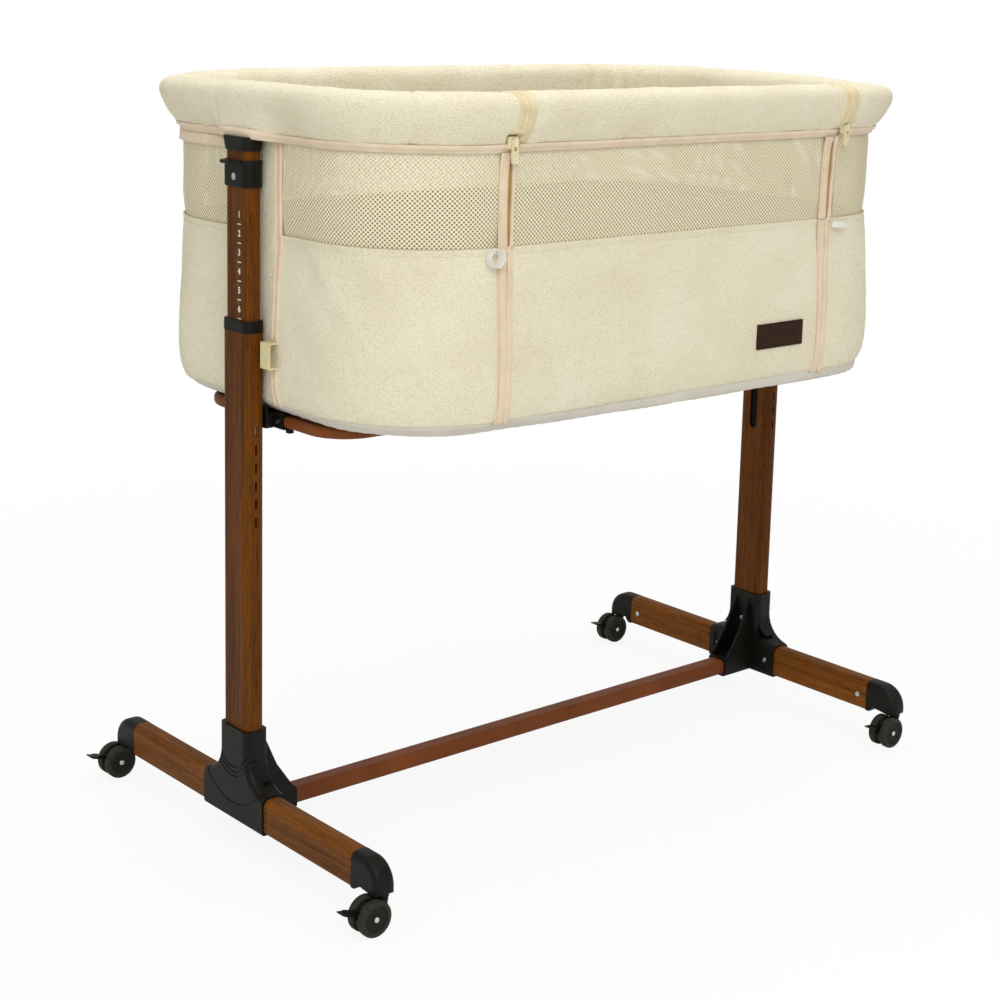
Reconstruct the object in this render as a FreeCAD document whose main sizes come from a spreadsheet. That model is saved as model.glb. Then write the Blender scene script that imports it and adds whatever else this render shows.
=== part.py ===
import FreeCAD, Part
import math
import os
import Sketcher
from FreeCAD import Placement, Rotation, Vector

# Bedside sleeper crib on a height-adjustable stand, in millimetres.
# X runs along the crib, the drop side faces -Y, Z is up and the floor is Z = 0.

doc = FreeCAD.newDocument("bedside_crib")
sheet = doc.addObject("Spreadsheet::Sheet", "Sizes")

SIZES = [
    # stand
    ("post_spacing", 850.0, "between the centres of the two posts"),
    ("origin_shift", 15.25, "moves the crib so that its outline is centred on X = 0"),
    ("bar_wide", 26.0, "foot bar across"),
    ("bar_tall", 40.0, "foot bar height"),
    ("bar_under", 36.4, "underside of the foot bar above the floor"),
    ("bar_half", 224.0, "half the bare length of a foot bar"),
    ("bar_round", 9.0, "rounded top edges of a foot bar"),
    ("tube_wall", 1.5, "wall of the steel tubes"),
    ("post_wide", 25.0, "outer post along X"),
    ("post_deep", 50.0, "outer post along Y"),
    ("post_round", 9.0, "outer post corner radius"),
    ("post_foot", 77.0, "lower end of the outer post, on the foot bar"),
    ("post_top", 600.0, "upper end of the outer post"),
    ("collar_tall", 13.0, "visible height of the collar on the outer post"),
    ("inner_wide", 20.0, "inner post along X"),
    ("inner_deep", 44.0, "inner post along Y"),
    ("inner_foot", 366.0, "lower end of the inner post at the top level"),
    ("inner_top", 797.0, "upper end of the inner post at the top level"),
    ("level_step", 20.6, "between two height levels"),
    ("level_count", 6.0, "height levels"),
    ("slot_top", 490.4, "centre of the top latch slot"),
    ("slot_tall", 11.6, "height of a latch slot"),
    ("slot_wide", 2.6, "width of a latch slot"),
    ("groove_wide", 13.0, "groove for the neck of the frame bracket"),
    ("groove_end", 381.0, "lower end of that groove"),
    ("tee_half", 60.0, "half the length of the tee's sleeve"),
    ("tee_wall", 2.5, "wall of the tee moulding"),
    ("tee_top", 145.0, "rim of the post socket"),
    ("brace_wide", 26.0, "stretcher across"),
    ("brace_tall", 20.0, "stretcher height"),
    ("brace_mid", 45.0, "stretcher centre above the floor"),
    ("brace_seat", 63.0, "from the post centre to the mouth of the stretcher socket"),
    # casters
    ("stem_side", 262.0, "caster stem from the middle of the foot bar"),
    ("trail", 16.0, "axle behind the stem"),
    ("wheel_size", 40.0, "wheel diameter"),
    ("wheel_width", 9.3, "width of one wheel"),
    ("wheel_gap", 8.0, "between the two wheels of a caster"),
    ("axle_size", 6.0, "axle diameter"),
    # basket
    ("basket_long", 409.0, "half length of the basket walls"),
    ("basket_deep", 247.0, "half width of the basket walls"),
    ("basket_round", 135.0, "corner radius of the basket seen from above"),
    ("hem", 521.0, "lower hem of the side panel"),
    ("mesh_line", 708.0, "seam between side panel and mesh"),
    ("rim_under", 812.0, "underside of the padded rim"),
    ("rim_tall", 58.0, "height of the padded rim"),
    ("rim_out", 27.0, "rim past the basket wall"),
    ("rim_in", 21.0, "rim inside the basket wall"),
    ("rail_size", 19.0, "diameter of the rail in the rim"),
    ("zip_side", 257.0, "zips from the middle of the crib"),
    ("zip_gap", 1.0, "half the slit of a zip"),
    ("frame_long", 400.0, "half length of the base frame"),
    ("frame_deep", 135.0, "half width of the base frame"),
    ("frame_round", 50.0, "outer corner radius of the base frame"),
    ("frame_under", 494.5, "underside of the base frame"),
    ("frame_wide", 20.0, "base frame tube across"),
    ("frame_tall", 12.5, "base frame tube height"),
    ("bracket_half", 42.0, "half the length of the frame bracket"),
    ("lift", 9.0, "travel of a release handle"),
]
for row, (alias, size, what) in enumerate(SIZES, start=1):
    sheet.set("A%d" % row, what)
    sheet.set("B%d" % row, str(size))
    sheet.setAlias("B%d" % row, alias)
doc.recompute()
S = {alias: size for alias, size, what in SIZES}
SIDES = (("left", -1), ("right", 1))
CORNERS = (("front_left", -1, -1), ("back_left", -1, 1), ("front_right", 1, -1), ("back_right", 1, 1))
subparts = []


# ---------------------------------------------------------------- helpers
def post_x(side):
    """X of a post's centre, with the shift that centres the outline."""
    return side * S["post_spacing"] / 2 + S["origin_shift"]


def mark(thing, label, place=Placement()):
    """Name a sub-part, place it and list it for export."""
    thing.Label = label
    thing.Placement = place
    subparts.append(thing)
    return thing


def at(x, y, z, turn=0.0):
    return Placement(Vector(x, y, z), Rotation(Vector(0, 0, 1), turn))


def own_shape(label, shape, place=Placement()):
    thing = doc.addObject("Part::Feature", label)
    thing.Shape = shape
    return mark(thing, label, place)


def origin_plane(body, role):
    return [f for f in body.Origin.OriginFeatures if f.Role == role][0]


def sketch_on(body, name, role, offset=0.0):
    sketch = body.newObject("Sketcher::SketchObject", name)
    sketch.AttachmentSupport = [(origin_plane(body, role), "")]
    sketch.MapMode = "FlatFace"
    sketch.AttachmentOffset = Placement(Vector(0, 0, offset), Rotation())
    return sketch


def rounded_outline(sketch, tag, wide, tall, low_round, top_round):
    """Draw a centred rounded rectangle; each size is an expression on the sheet."""
    names = {}
    for key, text in (("wide", wide), ("tall", tall), ("low", low_round), ("top", top_round)):
        names[key] = size_of(text)
    x, y, low, top = names["wide"] / 2, names["tall"] / 2, names["low"], names["top"]

    def line(ax, ay, bx, by):
        return sketch.addGeometry(Part.LineSegment(Vector(ax, ay, 0), Vector(bx, by, 0)), False)

    def arc(cx, cy, r, start):
        circle = Part.Circle(Vector(cx, cy, 0), Vector(0, 0, 1), r)
        quarter = Part.ArcOfCircle(circle, math.radians(start), math.radians(start + 90))
        return sketch.addGeometry(quarter, False)

    floor = line(-x + low, -y, x - low, -y)
    a = arc(x - low, -y + low, low, 270)
    east = line(x, -y + low, x, y - top)
    b = arc(x - top, y - top, top, 0)
    roof = line(x - top, y, -x + top, y)
    c = arc(-x + top, y - top, top, 90)
    west = line(-x, y - top, -x, -y + low)
    d = arc(-x + low, -y + low, low, 180)
    ring = [floor, a, east, b, roof, c, west, d]
    for one, two in zip(ring, ring[1:] + ring[:1]):
        sketch.addConstraint(Sketcher.Constraint("Tangent", one, 2, two, 1))
    sketch.addConstraint(Sketcher.Constraint("Horizontal", roof))
    sketch.addConstraint(Sketcher.Constraint("Vertical", east))
    sketch.addConstraint(Sketcher.Constraint("Vertical", west))
    sketch.addConstraint(Sketcher.Constraint("Equal", a, d))
    sketch.addConstraint(Sketcher.Constraint("Equal", b, c))
    sketch.addConstraint(Sketcher.Constraint("Symmetric", floor, 1, floor, 2, -2))
    bind(sketch, Sketcher.Constraint("DistanceX", west, 1, east, 2, 2 * x), tag + "_wide", wide)
    bind(sketch, Sketcher.Constraint("DistanceY", floor, 1, roof, 2, 2 * y), tag + "_tall", tall)
    bind(sketch, Sketcher.Constraint("DistanceY", floor, 1, -1, 1, y), tag + "_mid", "(%s) / 2" % tall)
    bind(sketch, Sketcher.Constraint("Radius", a, low), tag + "_low", low_round)
    bind(sketch, Sketcher.Constraint("Radius", b, top), tag + "_top", top_round)


def bind(sketch, constraint, name, text):
    index = sketch.addConstraint(constraint)
    sketch.renameConstraint(index, name)
    sketch.setExpression("Constraints." + name, with_sheet(text))


def with_sheet(text):
    """Write the sheet's name before each alias in an expression."""
    words = text.replace("(", " ( ").replace(")", " ) ").split()
    return " ".join("Sizes." + w if w in S else w for w in words)


def size_of(text):
    """Number that an expression on the sheet gives."""
    return float(sheet.evalExpression(with_sheet(text)))


def pad(body, sketch, length, centred=False):
    feature = body.newObject("PartDesign::Pad", "Pad")
    feature.Profile = sketch
    feature.setExpression("Length", with_sheet(length))
    feature.Midplane = centred
    sketch.Visibility = False
    return feature


def tube_body(name, role, outer, wall, length, centred):
    """Body of a rounded tube; outer is (wide, tall, low_round, top_round) as expressions."""
    body = doc.addObject("PartDesign::Body", name)
    sketch = sketch_on(body, "Section", role)
    rounded_outline(sketch, "outer", *outer)
    if wall:
        wide, tall, low, top = outer
        rounded_outline(sketch, "inner", "%s - 2 * %s" % (wide, wall), "%s - 2 * %s" % (tall, wall),
                        "%s - %s" % (low, wall), "%s - %s" % (top, wall))
    pad(body, sketch, length, centred)
    doc.recompute()
    return body


def plan_wire(half_long, half_deep, corner, z):
    """Rounded rectangle seen from above, as a closed wire of lines and arcs."""
    edges = []
    a, b, r = half_long, half_deep, corner
    diagonal = r * math.sqrt(0.5)
    ends = [(a, b - r), (a - r, b), (-a + r, b), (-a, b - r), (-a, -b + r), (-a + r, -b), (a - r, -b), (a, -b + r)]
    centres = [(a - r, b - r), (-a + r, b - r), (-a + r, -b + r), (a - r, -b + r)]
    signs = [(1, 1), (-1, 1), (-1, -1), (1, -1)]
    for i in range(4):
        start, stop = ends[2 * i], ends[2 * i + 1]
        (cx, cy), (sx, sy) = centres[i], signs[i]
        middle = Vector(cx + sx * diagonal, cy + sy * diagonal, z)
        edges.append(Part.Arc(Vector(*start, z), middle, Vector(*stop, z)).toShape())
        after = ends[(2 * i + 2) % 8]
        edges.append(Part.makeLine(Vector(*stop, z), Vector(*after, z)))
    return Part.Wire(Part.__sortEdges__(edges))


def plan_block(half_long, half_deep, corner, low, high):
    face = Part.Face(plan_wire(half_long, half_deep, corner, low))
    return face.extrude(Vector(0, 0, high - low))


def plan_ring(half_long, half_deep, corner, thick, low, high):
    inside = plan_block(half_long - thick, half_deep - thick, corner - thick, low, high)
    return plan_block(half_long, half_deep, corner, low, high).cut(inside)


def box(x0, x1, y0, y1, z0, z1):
    return Part.makeBox(x1 - x0, y1 - y0, z1 - z0, Vector(x0, y0, z0))


def rounded_block(wide, deep, corner, low, high):
    """Upright block with rounded corners, centred on the Z axis."""
    return plan_block(wide / 2, deep / 2, corner, low, high)


def profile_solid(points, direction, start):
    """Extrude a closed outline; a point (a, b, "arc", c, d) is reached by an arc through c, d."""
    edges = []
    for here, there in zip(points, points[1:] + points[:1]):
        p, q = start(here[0], here[1]), start(there[0], there[1])
        if len(there) > 2:
            edges.append(Part.Arc(p, start(there[3], there[4]), q).toShape())
        else:
            edges.append(Part.makeLine(p, q))
    return Part.Face(Part.Wire(edges)).extrude(direction)


def edges_where(shape, test):
    return [e for e in shape.Edges if test(e)]


# ---------------------------------------------------------------- stand
BAR = ("bar_wide", "bar_tall", "tube_wall + 2", "bar_round")
POST = ("post_wide", "post_deep", "post_round", "post_round")
INNER = ("inner_wide", "inner_deep", "post_round - 1.5", "post_round - 1.5")
BRACE = ("brace_wide", "brace_tall", "brace_tall * 0.3", "brace_tall * 0.3")


def foot_bars():
    for name, side in SIDES:
        body = tube_body("FootBar_" + name, "XZ_Plane", BAR, "tube_wall", "2 * bar_half", True)
        mark(body, "foot_bar_" + name, at(post_x(side), 0, S["bar_under"] + S["bar_tall"] / 2))


def stretcher():
    body = tube_body("Stretcher", "YZ_Plane", BRACE, "tube_wall", "post_spacing - 2 * brace_seat + 60", True)
    mark(body, "stretcher_bar", at(S["origin_shift"], 0, S["brace_mid"]))


def outer_posts():
    for name, side in SIDES:
        body = tube_body("OuterPost_" + name, "XY_Plane", POST, "tube_wall", "post_top - post_foot", False)
        cut_latch_slots(body)
        cut_bracket_groove(body, side)
        mark(body, "outer_post_" + name, at(post_x(side), 0, S["post_foot"]))


def cut_latch_slots(body):
    """Six short slots, one per height level, through the front wall of the post."""
    sketch = sketch_on(body, "LatchSlot", "XZ_Plane")
    rounded_outline(sketch, "slot", "slot_wide", "slot_tall", "slot_wide * 0.45", "slot_wide * 0.45")
    sketch.setExpression("AttachmentOffset.Base.y", with_sheet("slot_top - post_foot"))
    slot = body.newObject("PartDesign::Pocket", "Slot")
    slot.Profile = sketch
    slot.setExpression("Length", with_sheet("post_deep"))
    slot.Reversed = True
    row = body.newObject("PartDesign::LinearPattern", "SlotRow")
    row.Originals = [slot]
    row.Direction = (sketch, ["V_Axis"])
    row.Reversed = True
    row.setExpression("Length", with_sheet("level_step * ( level_count - 1 )"))
    row.Occurrences = int(S["level_count"])
    body.Tip = row
    doc.recompute()


def cut_bracket_groove(body, side):
    """Long groove in the wall that faces the basket, open at the top, round at the bottom."""
    sketch = sketch_on(body, "Groove", "YZ_Plane")
    rounded_outline(sketch, "groove", "groove_wide", "2 * ( post_top - groove_end )", "groove_wide * 0.49",
                    "groove_wide * 0.49")
    sketch.setExpression("AttachmentOffset.Base.y", with_sheet("post_top - post_foot"))
    groove = body.newObject("PartDesign::Pocket", "GrooveCut")
    groove.Profile = sketch
    groove.setExpression("Length", with_sheet("post_wide"))
    groove.Reversed = side < 0
    body.Tip = groove
    doc.recompute()


def tee_profile(inset=0.0):
    """Outline of the tee seen along X: a sleeve below, concave flares and the post socket."""
    half, top = S["tee_half"] - inset, S["tee_top"] - inset
    low = S["bar_under"] - S["tee_wall"] + inset
    shoulder = S["bar_under"] + S["bar_tall"] + S["tee_wall"] - inset
    neck = S["post_deep"] / 2 + S["tee_wall"] + 0.5 - inset
    bend = inset * 0.3
    return [(-half, low), (half, low), (half, shoulder), (half - 4, shoulder + 1.5),
            (neck, 116.0, "arc", neck + 9.0 + bend, shoulder + 13.0 + bend), (neck, top), (-neck, top), (-neck, 116.0),
            (-half + 4, shoulder + 1.5, "arc", -neck - 9.0 - bend, shoulder + 13.0 + bend), (-half, shoulder)]


def tee_block(reach, inset, bend):
    """Tee without its bracket and bores; bend rounds the long edges of the flares and the socket."""
    block = profile_solid(tee_profile(inset), Vector(2 * reach, 0, 0), lambda y, z: Vector(-reach, y, z))
    crest = S["bar_under"] + S["bar_tall"]
    long_edges = edges_where(block, lambda e: abs(abs(e.CenterOfMass.x) - reach) < 0.01
                             and e.CenterOfMass.z > crest and e.CenterOfMass.z < S["tee_top"] - 2)
    return block.makeFillet(bend, long_edges)


def tee_rings(reach, core):
    """Shallow curved grooves that run round the foot of the post on the outer face and over the flares."""
    rings = []
    for radius, wide in ((28.0, 1.5), (33.0, 1.7), (38.5, 1.7), (71.0, 1.5)):
        start, way = Vector(-reach - 1, 0, 126.0), Vector(1, 0, 0)
        ring = Part.makeCylinder(radius + wide / 2, 15.0, start, way).cut(
            Part.makeCylinder(radius - wide / 2, 15.0, start, way))
        rings.append(ring.common(box(-reach - 2, reach, -S["tee_half"] + 5, S["tee_half"] - 5, 40.0, 117.0)).cut(core))
    return rings


def tee_shape():
    """Moulded tee: sleeve for the foot bar, socket for the post, braced socket for the stretcher."""
    reach = S["post_wide"] / 2 + S["tee_wall"] + 0.5
    block = tee_block(reach, 0.0, 8.0)
    keel = edges_where(block, lambda e: abs(e.CenterOfMass.z - S["bar_under"] + S["tee_wall"]) < 0.01
                       and e.BoundBox.YLength > S["tee_half"])
    block = block.makeFillet(4.0, keel)
    for ring in tee_rings(reach, tee_block(reach - 0.9, 0.9, 7.2)):
        block = block.cut(ring)
    block = block.fuse(stretcher_bracket(reach)).removeSplitter()
    for hollow in side_pockets(reach) + tee_bores():
        block = block.cut(hollow)
    return block


def rectangle_wire(x0, x1, y0, y1, z):
    return Part.makePolygon([Vector(x0, y0, z), Vector(x1, y0, z), Vector(x1, y1, z), Vector(x0, y1, z),
                             Vector(x0, y0, z)])


def stretcher_bracket(reach):
    """Socket for the stretcher with two sloping webs up to the post socket."""
    seat, wide = S["brace_seat"], S["brace_wide"] / 2 + 3.0
    low, high = S["brace_mid"] - S["brace_tall"] / 2 - 3.0, S["brace_mid"] + S["brace_tall"] / 2 + 3.0
    socket = box(reach - 4, seat, -wide, wide, low, high)
    socket = socket.makeFillet(5.0, edges_where(socket, lambda e: e.BoundBox.XLength > 20))
    belly = reach + (seat - reach) * 0.42
    for web in (-1, 1):
        foot, tip = web * (wide - 1.8), web * 11.0
        sections = [rectangle_wire(reach - 3, seat - 0.5, foot - 1.6, foot + 1.6, high - 4),
                    rectangle_wire(reach - 3, belly, web * 13.0 - 1.5, web * 13.0 + 1.5, 93.0),
                    rectangle_wire(reach - 3, reach + 0.8, tip - 1.4, tip + 1.4, 137.0)]
        socket = socket.fuse(Part.makeLoft(sections, True, True))
    return socket


def side_pockets(reach):
    """The flares and the sleeve are hollowed on the side that faces the basket."""
    pockets = []
    wall = S["post_deep"] / 2 + 3.0
    for end in (-1, 1):
        outline = [(end * wall, 84.0), (end * (wall + 22), 84.0), (end * wall, 106.0, "arc", end * (wall + 8.5), 91.5)]
        pockets.append(profile_solid(outline, Vector(18, 0, 0), lambda y, z: Vector(reach - 17, y, z)))
        near, far = sorted((end * (wall - 4), end * (S["tee_half"] - 9)))
        pockets.append(box(reach - 1.4, reach + 1, near, far, 43, 72))
    return pockets


def tee_bores():
    """Seats of the foot bar, the post and the stretcher."""
    bar = box(-S["bar_wide"] / 2, S["bar_wide"] / 2, -S["tee_half"] - 10, S["tee_half"] + 10, S["bar_under"],
              S["bar_under"] + S["bar_tall"])
    top = edges_where(bar, lambda e: e.BoundBox.YLength > 100 and e.CenterOfMass.z > 60)
    bar = bar.makeFillet(S["bar_round"], top)
    post = rounded_block(S["post_wide"], S["post_deep"], S["post_round"], S["bar_under"] + 20, S["tee_top"] + 10)
    brace = box(S["brace_seat"] - 30, S["brace_seat"] + 5, -S["brace_wide"] / 2, S["brace_wide"] / 2,
                S["brace_mid"] - S["brace_tall"] / 2, S["brace_mid"] + S["brace_tall"] / 2)
    brace = brace.makeFillet(S["brace_tall"] * 0.3, edges_where(brace, lambda e: e.BoundBox.XLength > 20))
    return [bar, post, brace]


def tees():
    for name, side in SIDES:
        own_shape("tee_" + name, tee_shape(), at(post_x(side), 0, 0, 0 if side < 0 else 180))


def collars():
    """Guide bush in the top of the outer post, with a rim that sits on the tube."""
    for name, side in SIDES:
        rim = rounded_block(S["post_wide"] + 0.8, S["post_deep"] + 0.8, S["post_round"], 0, S["collar_tall"])
        rim = rim.makeFillet(1.0, edges_where(rim, lambda e: e.CenterOfMass.z > S["collar_tall"] - 0.1))
        inset = 2 * S["tube_wall"] + 0.1
        sleeve = rounded_block(S["post_wide"] - inset, S["post_deep"] - inset, S["post_round"] - 1.6, -32, 0)
        bore = rounded_block(S["inner_wide"] + 0.6, S["inner_deep"] + 0.6, S["post_round"] - 1.2, -40, 20)
        own_shape("post_collar_" + name, rim.fuse(sleeve).cut(bore), at(post_x(side), 0, S["post_top"]))


def foot_cap_shape():
    """End cap of a foot bar: rounded nose over the caster stem and a heel bump beside the bar."""
    top, under = S["bar_under"] + S["bar_tall"], S["bar_under"]
    start, nose_round = S["bar_half"], 29.0
    nose = start + 18 + nose_round
    slant = nose_round * math.sqrt(0.5)
    outline = [(start, under), (start + 6, under), (start + 12, top - 33, "arc", start + 9.5, under + 3.2),
               (nose - 4, top - 36.5), (nose, top - 33), (nose, top - nose_round),
               (start + 18, top, "arc", start + 18 + slant, top - nose_round + slant), (start, top)]
    half = S["bar_wide"] / 2
    block = profile_solid(outline, Vector(2 * half, 0, 0), lambda y, z: Vector(-half, y, z))
    rounded = edges_where(block, lambda e: abs(abs(e.CenterOfMass.x) - half) < 0.01 and
                          e.CenterOfMass.y > start + 1 and e.CenterOfMass.z > top - 32)
    block = block.makeFillet(S["bar_round"] - 0.5, rounded)
    tongue = box(-half + S["tube_wall"] + 0.1, half - S["tube_wall"] - 0.1, start - 12, start + 2,
                 under + S["tube_wall"] + 3, top - S["bar_round"] - 1)
    stem_bore = Part.makeCylinder(4.05, 24, Vector(0, S["stem_side"], under))
    neck = Part.makeCylinder(7.6, 6, Vector(0, S["stem_side"], top - 38.0))
    return block.fuse(neck).fuse(tongue).cut(stem_bore)


def foot_caps():
    for name, side, end in CORNERS:
        own_shape("foot_cap_" + name, foot_cap_shape(), at(post_x(side), 0, 0, 180 if end < 0 else 0))


def stand_screws():
    """Pan-head screws: two in each tee and two in each foot bar, on the inner sides."""
    screws = []
    face = S["post_wide"] / 2 + S["tee_wall"] + 0.5
    for name, side in SIDES:
        spots = [(face - 1.4, -44.0, 56.0), (face - 1.4, 44.0, 56.0), (face, 0.0, 106.0),
                 (S["bar_wide"] / 2, -210.0, 55.0), (S["bar_wide"] / 2, 210.0, 55.0)]
        for reach, y, z in spots:
            start = Vector(post_x(side) - side * reach, y, z)
            head = Part.makeCylinder(3.6, 1.8, start, Vector(-side, 0, 0))
            rim = edges_where(head, lambda e: abs(e.CenterOfMass.x - start.x) > 1.0)
            head = head.makeFillet(1.0, rim[:1])
            screws.append(head.fuse(Part.makeCylinder(1.8, 6.0, start, Vector(side, 0, 0))))
    own_shape("stand_screws", Part.Compound(screws))


# ---------------------------------------------------------------- casters
def caster_place(side, end):
    return at(post_x(side), end * S["stem_side"], 0)


def axle_spot():
    return -S["trail"], S["wheel_size"] / 2


def yoke_shape():
    """Body between the wheels, with the stem above and the steel axle through it."""
    x, z = axle_spot()
    half = S["wheel_gap"] / 2 - 0.6
    hood = Part.makeCylinder(16.6, 2 * half, Vector(x, -half, z), Vector(0, 1, 0))
    shoulder = box(x, 5.2, -half, half, z - 4, 36.0)
    shoulder = shoulder.makeFillet(3.0, edges_where(shoulder, lambda e: e.BoundBox.YLength > 5
                                                    and e.CenterOfMass.x > 5 and e.CenterOfMass.z < 20))
    collar = Part.makeCylinder(6.8, 4.0, Vector(0, 0, 33.6))
    collar = collar.makeChamfer(0.8, edges_where(collar, lambda e: e.CenterOfMass.z > 37))
    stem = Part.makeCylinder(4.0, 26.0, Vector(0, 0, 33.6))
    body = hood.fuse(shoulder).fuse(collar).fuse(stem).removeSplitter()
    for end in (-1, 1):
        start = Vector(x, end * (half + 0.01), z)
        body = body.cut(Part.makeCylinder(S["wheel_size"] / 2 + 0.6, 20, start, Vector(0, end, 0)))
    pivot_x, pivot_z = pedal_pivot()
    pocket = Part.makeCylinder(5.6, 40, Vector(pivot_x, -20, pivot_z), Vector(0, 1, 0))
    mouth = box(pivot_x - 20, pivot_x, -20, 20, pivot_z - 5.6, pivot_z + 8)
    pin = Part.makeCylinder(1.6, 2 * half, Vector(pivot_x, -half, pivot_z), Vector(0, 1, 0))
    cheek = box(pivot_x - 2.2, x, -half, half, pivot_z - 2.2, pivot_z + 2.2).common(pocket)
    ears = cheek.cut(box(-90, 90, -half + 1.0, half - 1.0, 0, 90))
    body = body.cut(pocket.fuse(mouth).common(box(-90, 90, -9, 9, 0, 60))).fuse(ears).fuse(pin)
    bore = Part.makeCylinder(S["axle_size"] / 2, 30, Vector(x, -15, z), Vector(0, 1, 0))
    half_axle = S["wheel_gap"] / 2 + S["wheel_width"] + 0.4
    axle = Part.makeCylinder(S["axle_size"] / 2, 2 * half_axle, Vector(x, -half_axle, z), Vector(0, 1, 0))
    axle = axle.makeChamfer(0.5, edges_where(axle, lambda e: e.BoundBox.YLength < 0.1))
    return Part.Compound([body.cut(bore), axle])


def pedal_pivot():
    x, z = axle_spot()
    return x - 12.5, z + 6.0


def pedal_shape():
    """Brake pedal: a narrow lever on its pin, widening to a foot plate outside the wheels."""
    px, pz = pedal_pivot()
    half = S["wheel_gap"] / 2 - 1.8
    hub = Part.makeCylinder(4.6, 2 * half, Vector(px, -half, pz), Vector(0, 1, 0))
    outline = [(px - 2, pz + 4.2), (px - 12, pz + 6.4), (px - 12, pz + 2.6), (px - 4, pz - 1.5), (px - 2, pz - 2)]
    lever = profile_solid(outline, Vector(0, 2 * half, 0), lambda x, z: Vector(x, -half, z))
    plate = [(px - 11, pz + 2.8), (px - 11, pz + 6.2), (px - 18, pz + 7.0, "arc", px - 14.5, pz + 6.8),
             (px - 26.4, pz + 9.4, "arc", px - 22.5, pz + 7.8), (px - 27.0, pz + 8.0),
             (px - 18, pz + 4.0, "arc", px - 22.5, pz + 5.2)]
    plate = profile_solid(plate, Vector(0, 13, 0), lambda x, z: Vector(x, -6.5, z))
    plate = plate.common(profile_solid([(px - 11, -3.4), (px - 11, 3.4), (px - 17, 6.5), (px - 27.5, 4.2),
                                        (px - 27.5, -4.2), (px - 17, -6.5)],
                                       Vector(0, 0, 60), lambda x, y: Vector(x, y, 0)))
    bore = Part.makeCylinder(1.66, 40, Vector(px, -20, pz), Vector(0, 1, 0))
    return hub.fuse(lever).fuse(plate).removeSplitter().cut(bore)


def wheel_shape(side):
    """One wheel: soft tread with rounded shoulders round a dished hub, bored for the axle."""
    x, z = axle_spot()
    inner, outer = S["wheel_gap"] / 2, S["wheel_gap"] / 2 + S["wheel_width"]
    r, bore, turn = S["wheel_size"] / 2, S["axle_size"] / 2 + 0.06, 2.4
    points = [(bore, inner), (r - turn, inner), (r, inner + turn), (r, outer - turn), (r - turn, outer),
              (14.2, outer), (13.6, outer - 0.9), (5.6, outer - 0.9), (5.2, outer - 0.1), (bore, outer - 0.1)]
    bend = turn * (1 - math.sqrt(0.5))
    edges = []
    for i, (p, q) in enumerate(zip(points, points[1:] + points[:1])):
        a, b = Vector(p[0], side * p[1], 0), Vector(q[0], side * q[1], 0)
        if i == 1:
            edges.append(Part.Arc(a, Vector(r - bend, side * (inner + bend), 0), b).toShape())
        elif i == 3:
            edges.append(Part.Arc(a, Vector(r - bend, side * (outer - bend), 0), b).toShape())
        else:
            edges.append(Part.makeLine(a, b))
    wheel = Part.Face(Part.Wire(edges)).revolve(Vector(0, 0, 0), Vector(0, 1, 0), 360)
    wheel.translate(Vector(x, 0, z))
    return wheel


def casters():
    for name, side, end in CORNERS:
        place = caster_place(side, end)
        own_shape("caster_yoke_" + name, yoke_shape(), place)
        own_shape("caster_wheels_" + name, Part.Compound([wheel_shape(-1), wheel_shape(1)]), place)
        own_shape("brake_pedal_" + name, pedal_shape(), place)


# ---------------------------------------------------------------- height posts of the cradle
def inner_posts():
    """Telescopic posts that carry the crib; a window lets the latch reach the slots."""
    for name, side in SIDES:
        body = tube_body("InnerPost_" + name, "XY_Plane", INNER, "tube_wall", "inner_top - inner_foot", False)
        front_cut(body, "LatchWindow", 3.4, "slot_tall + 4", "slot_top - inner_foot")
        outer_cut(body, "ScrewWindow", side, 4.4, "lift + 5", "769 - inner_foot + lift / 2")
        mark(body, "inner_post_" + name, at(post_x(side), 0, S["inner_foot"]))


def front_cut(body, name, wide, tall, centre):
    sketch = sketch_on(body, name, "XZ_Plane")
    rounded_outline(sketch, "window", str(wide), tall, str(wide * 0.45), str(wide * 0.45))
    sketch.setExpression("AttachmentOffset.Base.y", with_sheet(centre))
    cut = body.newObject("PartDesign::Pocket", name + "Cut")
    cut.Profile = sketch
    cut.Length = 60.0
    cut.Reversed = True
    body.Tip = cut
    doc.recompute()


def outer_cut(body, name, side, wide, tall, centre):
    sketch = sketch_on(body, name, "YZ_Plane")
    rounded_outline(sketch, "window", str(wide), tall, str(wide * 0.45), str(wide * 0.45))
    sketch.setExpression("AttachmentOffset.Base.y", with_sheet(centre))
    cut = body.newObject("PartDesign::Pocket", name + "Cut")
    cut.Profile = sketch
    cut.Length = 60.0
    cut.Reversed = side > 0
    body.Tip = cut
    doc.recompute()


def post_caps():
    """Flared cap on the inner post, with a saddle that carries the rail in the rim."""
    for name, side in SIDES:
        sections = []
        for z, wide, deep in ((0.0, 22.6, 47.0), (2.0, 23.6, 48.0), (15.0, 26.0, 52.0)):
            wire = plan_wire(wide / 2, deep / 2, S["post_round"], z)
            sections.append(wire)
        flare = Part.makeLoft(sections, True, True)
        rail_x = -side * (S["post_spacing"] / 2 - S["basket_long"] - 3.0)
        rail_z = S["rim_under"] + S["rim_tall"] / 2 - S["inner_top"]
        saddle = box(rail_x - 7, rail_x + 7, -12, 12, 15.2, rail_z)
        near, far = sorted((-side * 6.0, -side * 12.6))
        saddle = saddle.fuse(box(near, far, -12, 12, 10.0, 16.0))
        groove = Part.makeCylinder(S["rail_size"] / 2, 60, Vector(rail_x, -30, rail_z), Vector(0, 1, 0))
        plug = rounded_block(S["inner_wide"] - 3.2, S["inner_deep"] - 3.2, 6.4, -8.0, 0.5)
        own_shape("post_cap_" + name, flare.fuse(saddle.cut(groove)).fuse(plug), at(post_x(side), 0, S["inner_top"]))


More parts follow.
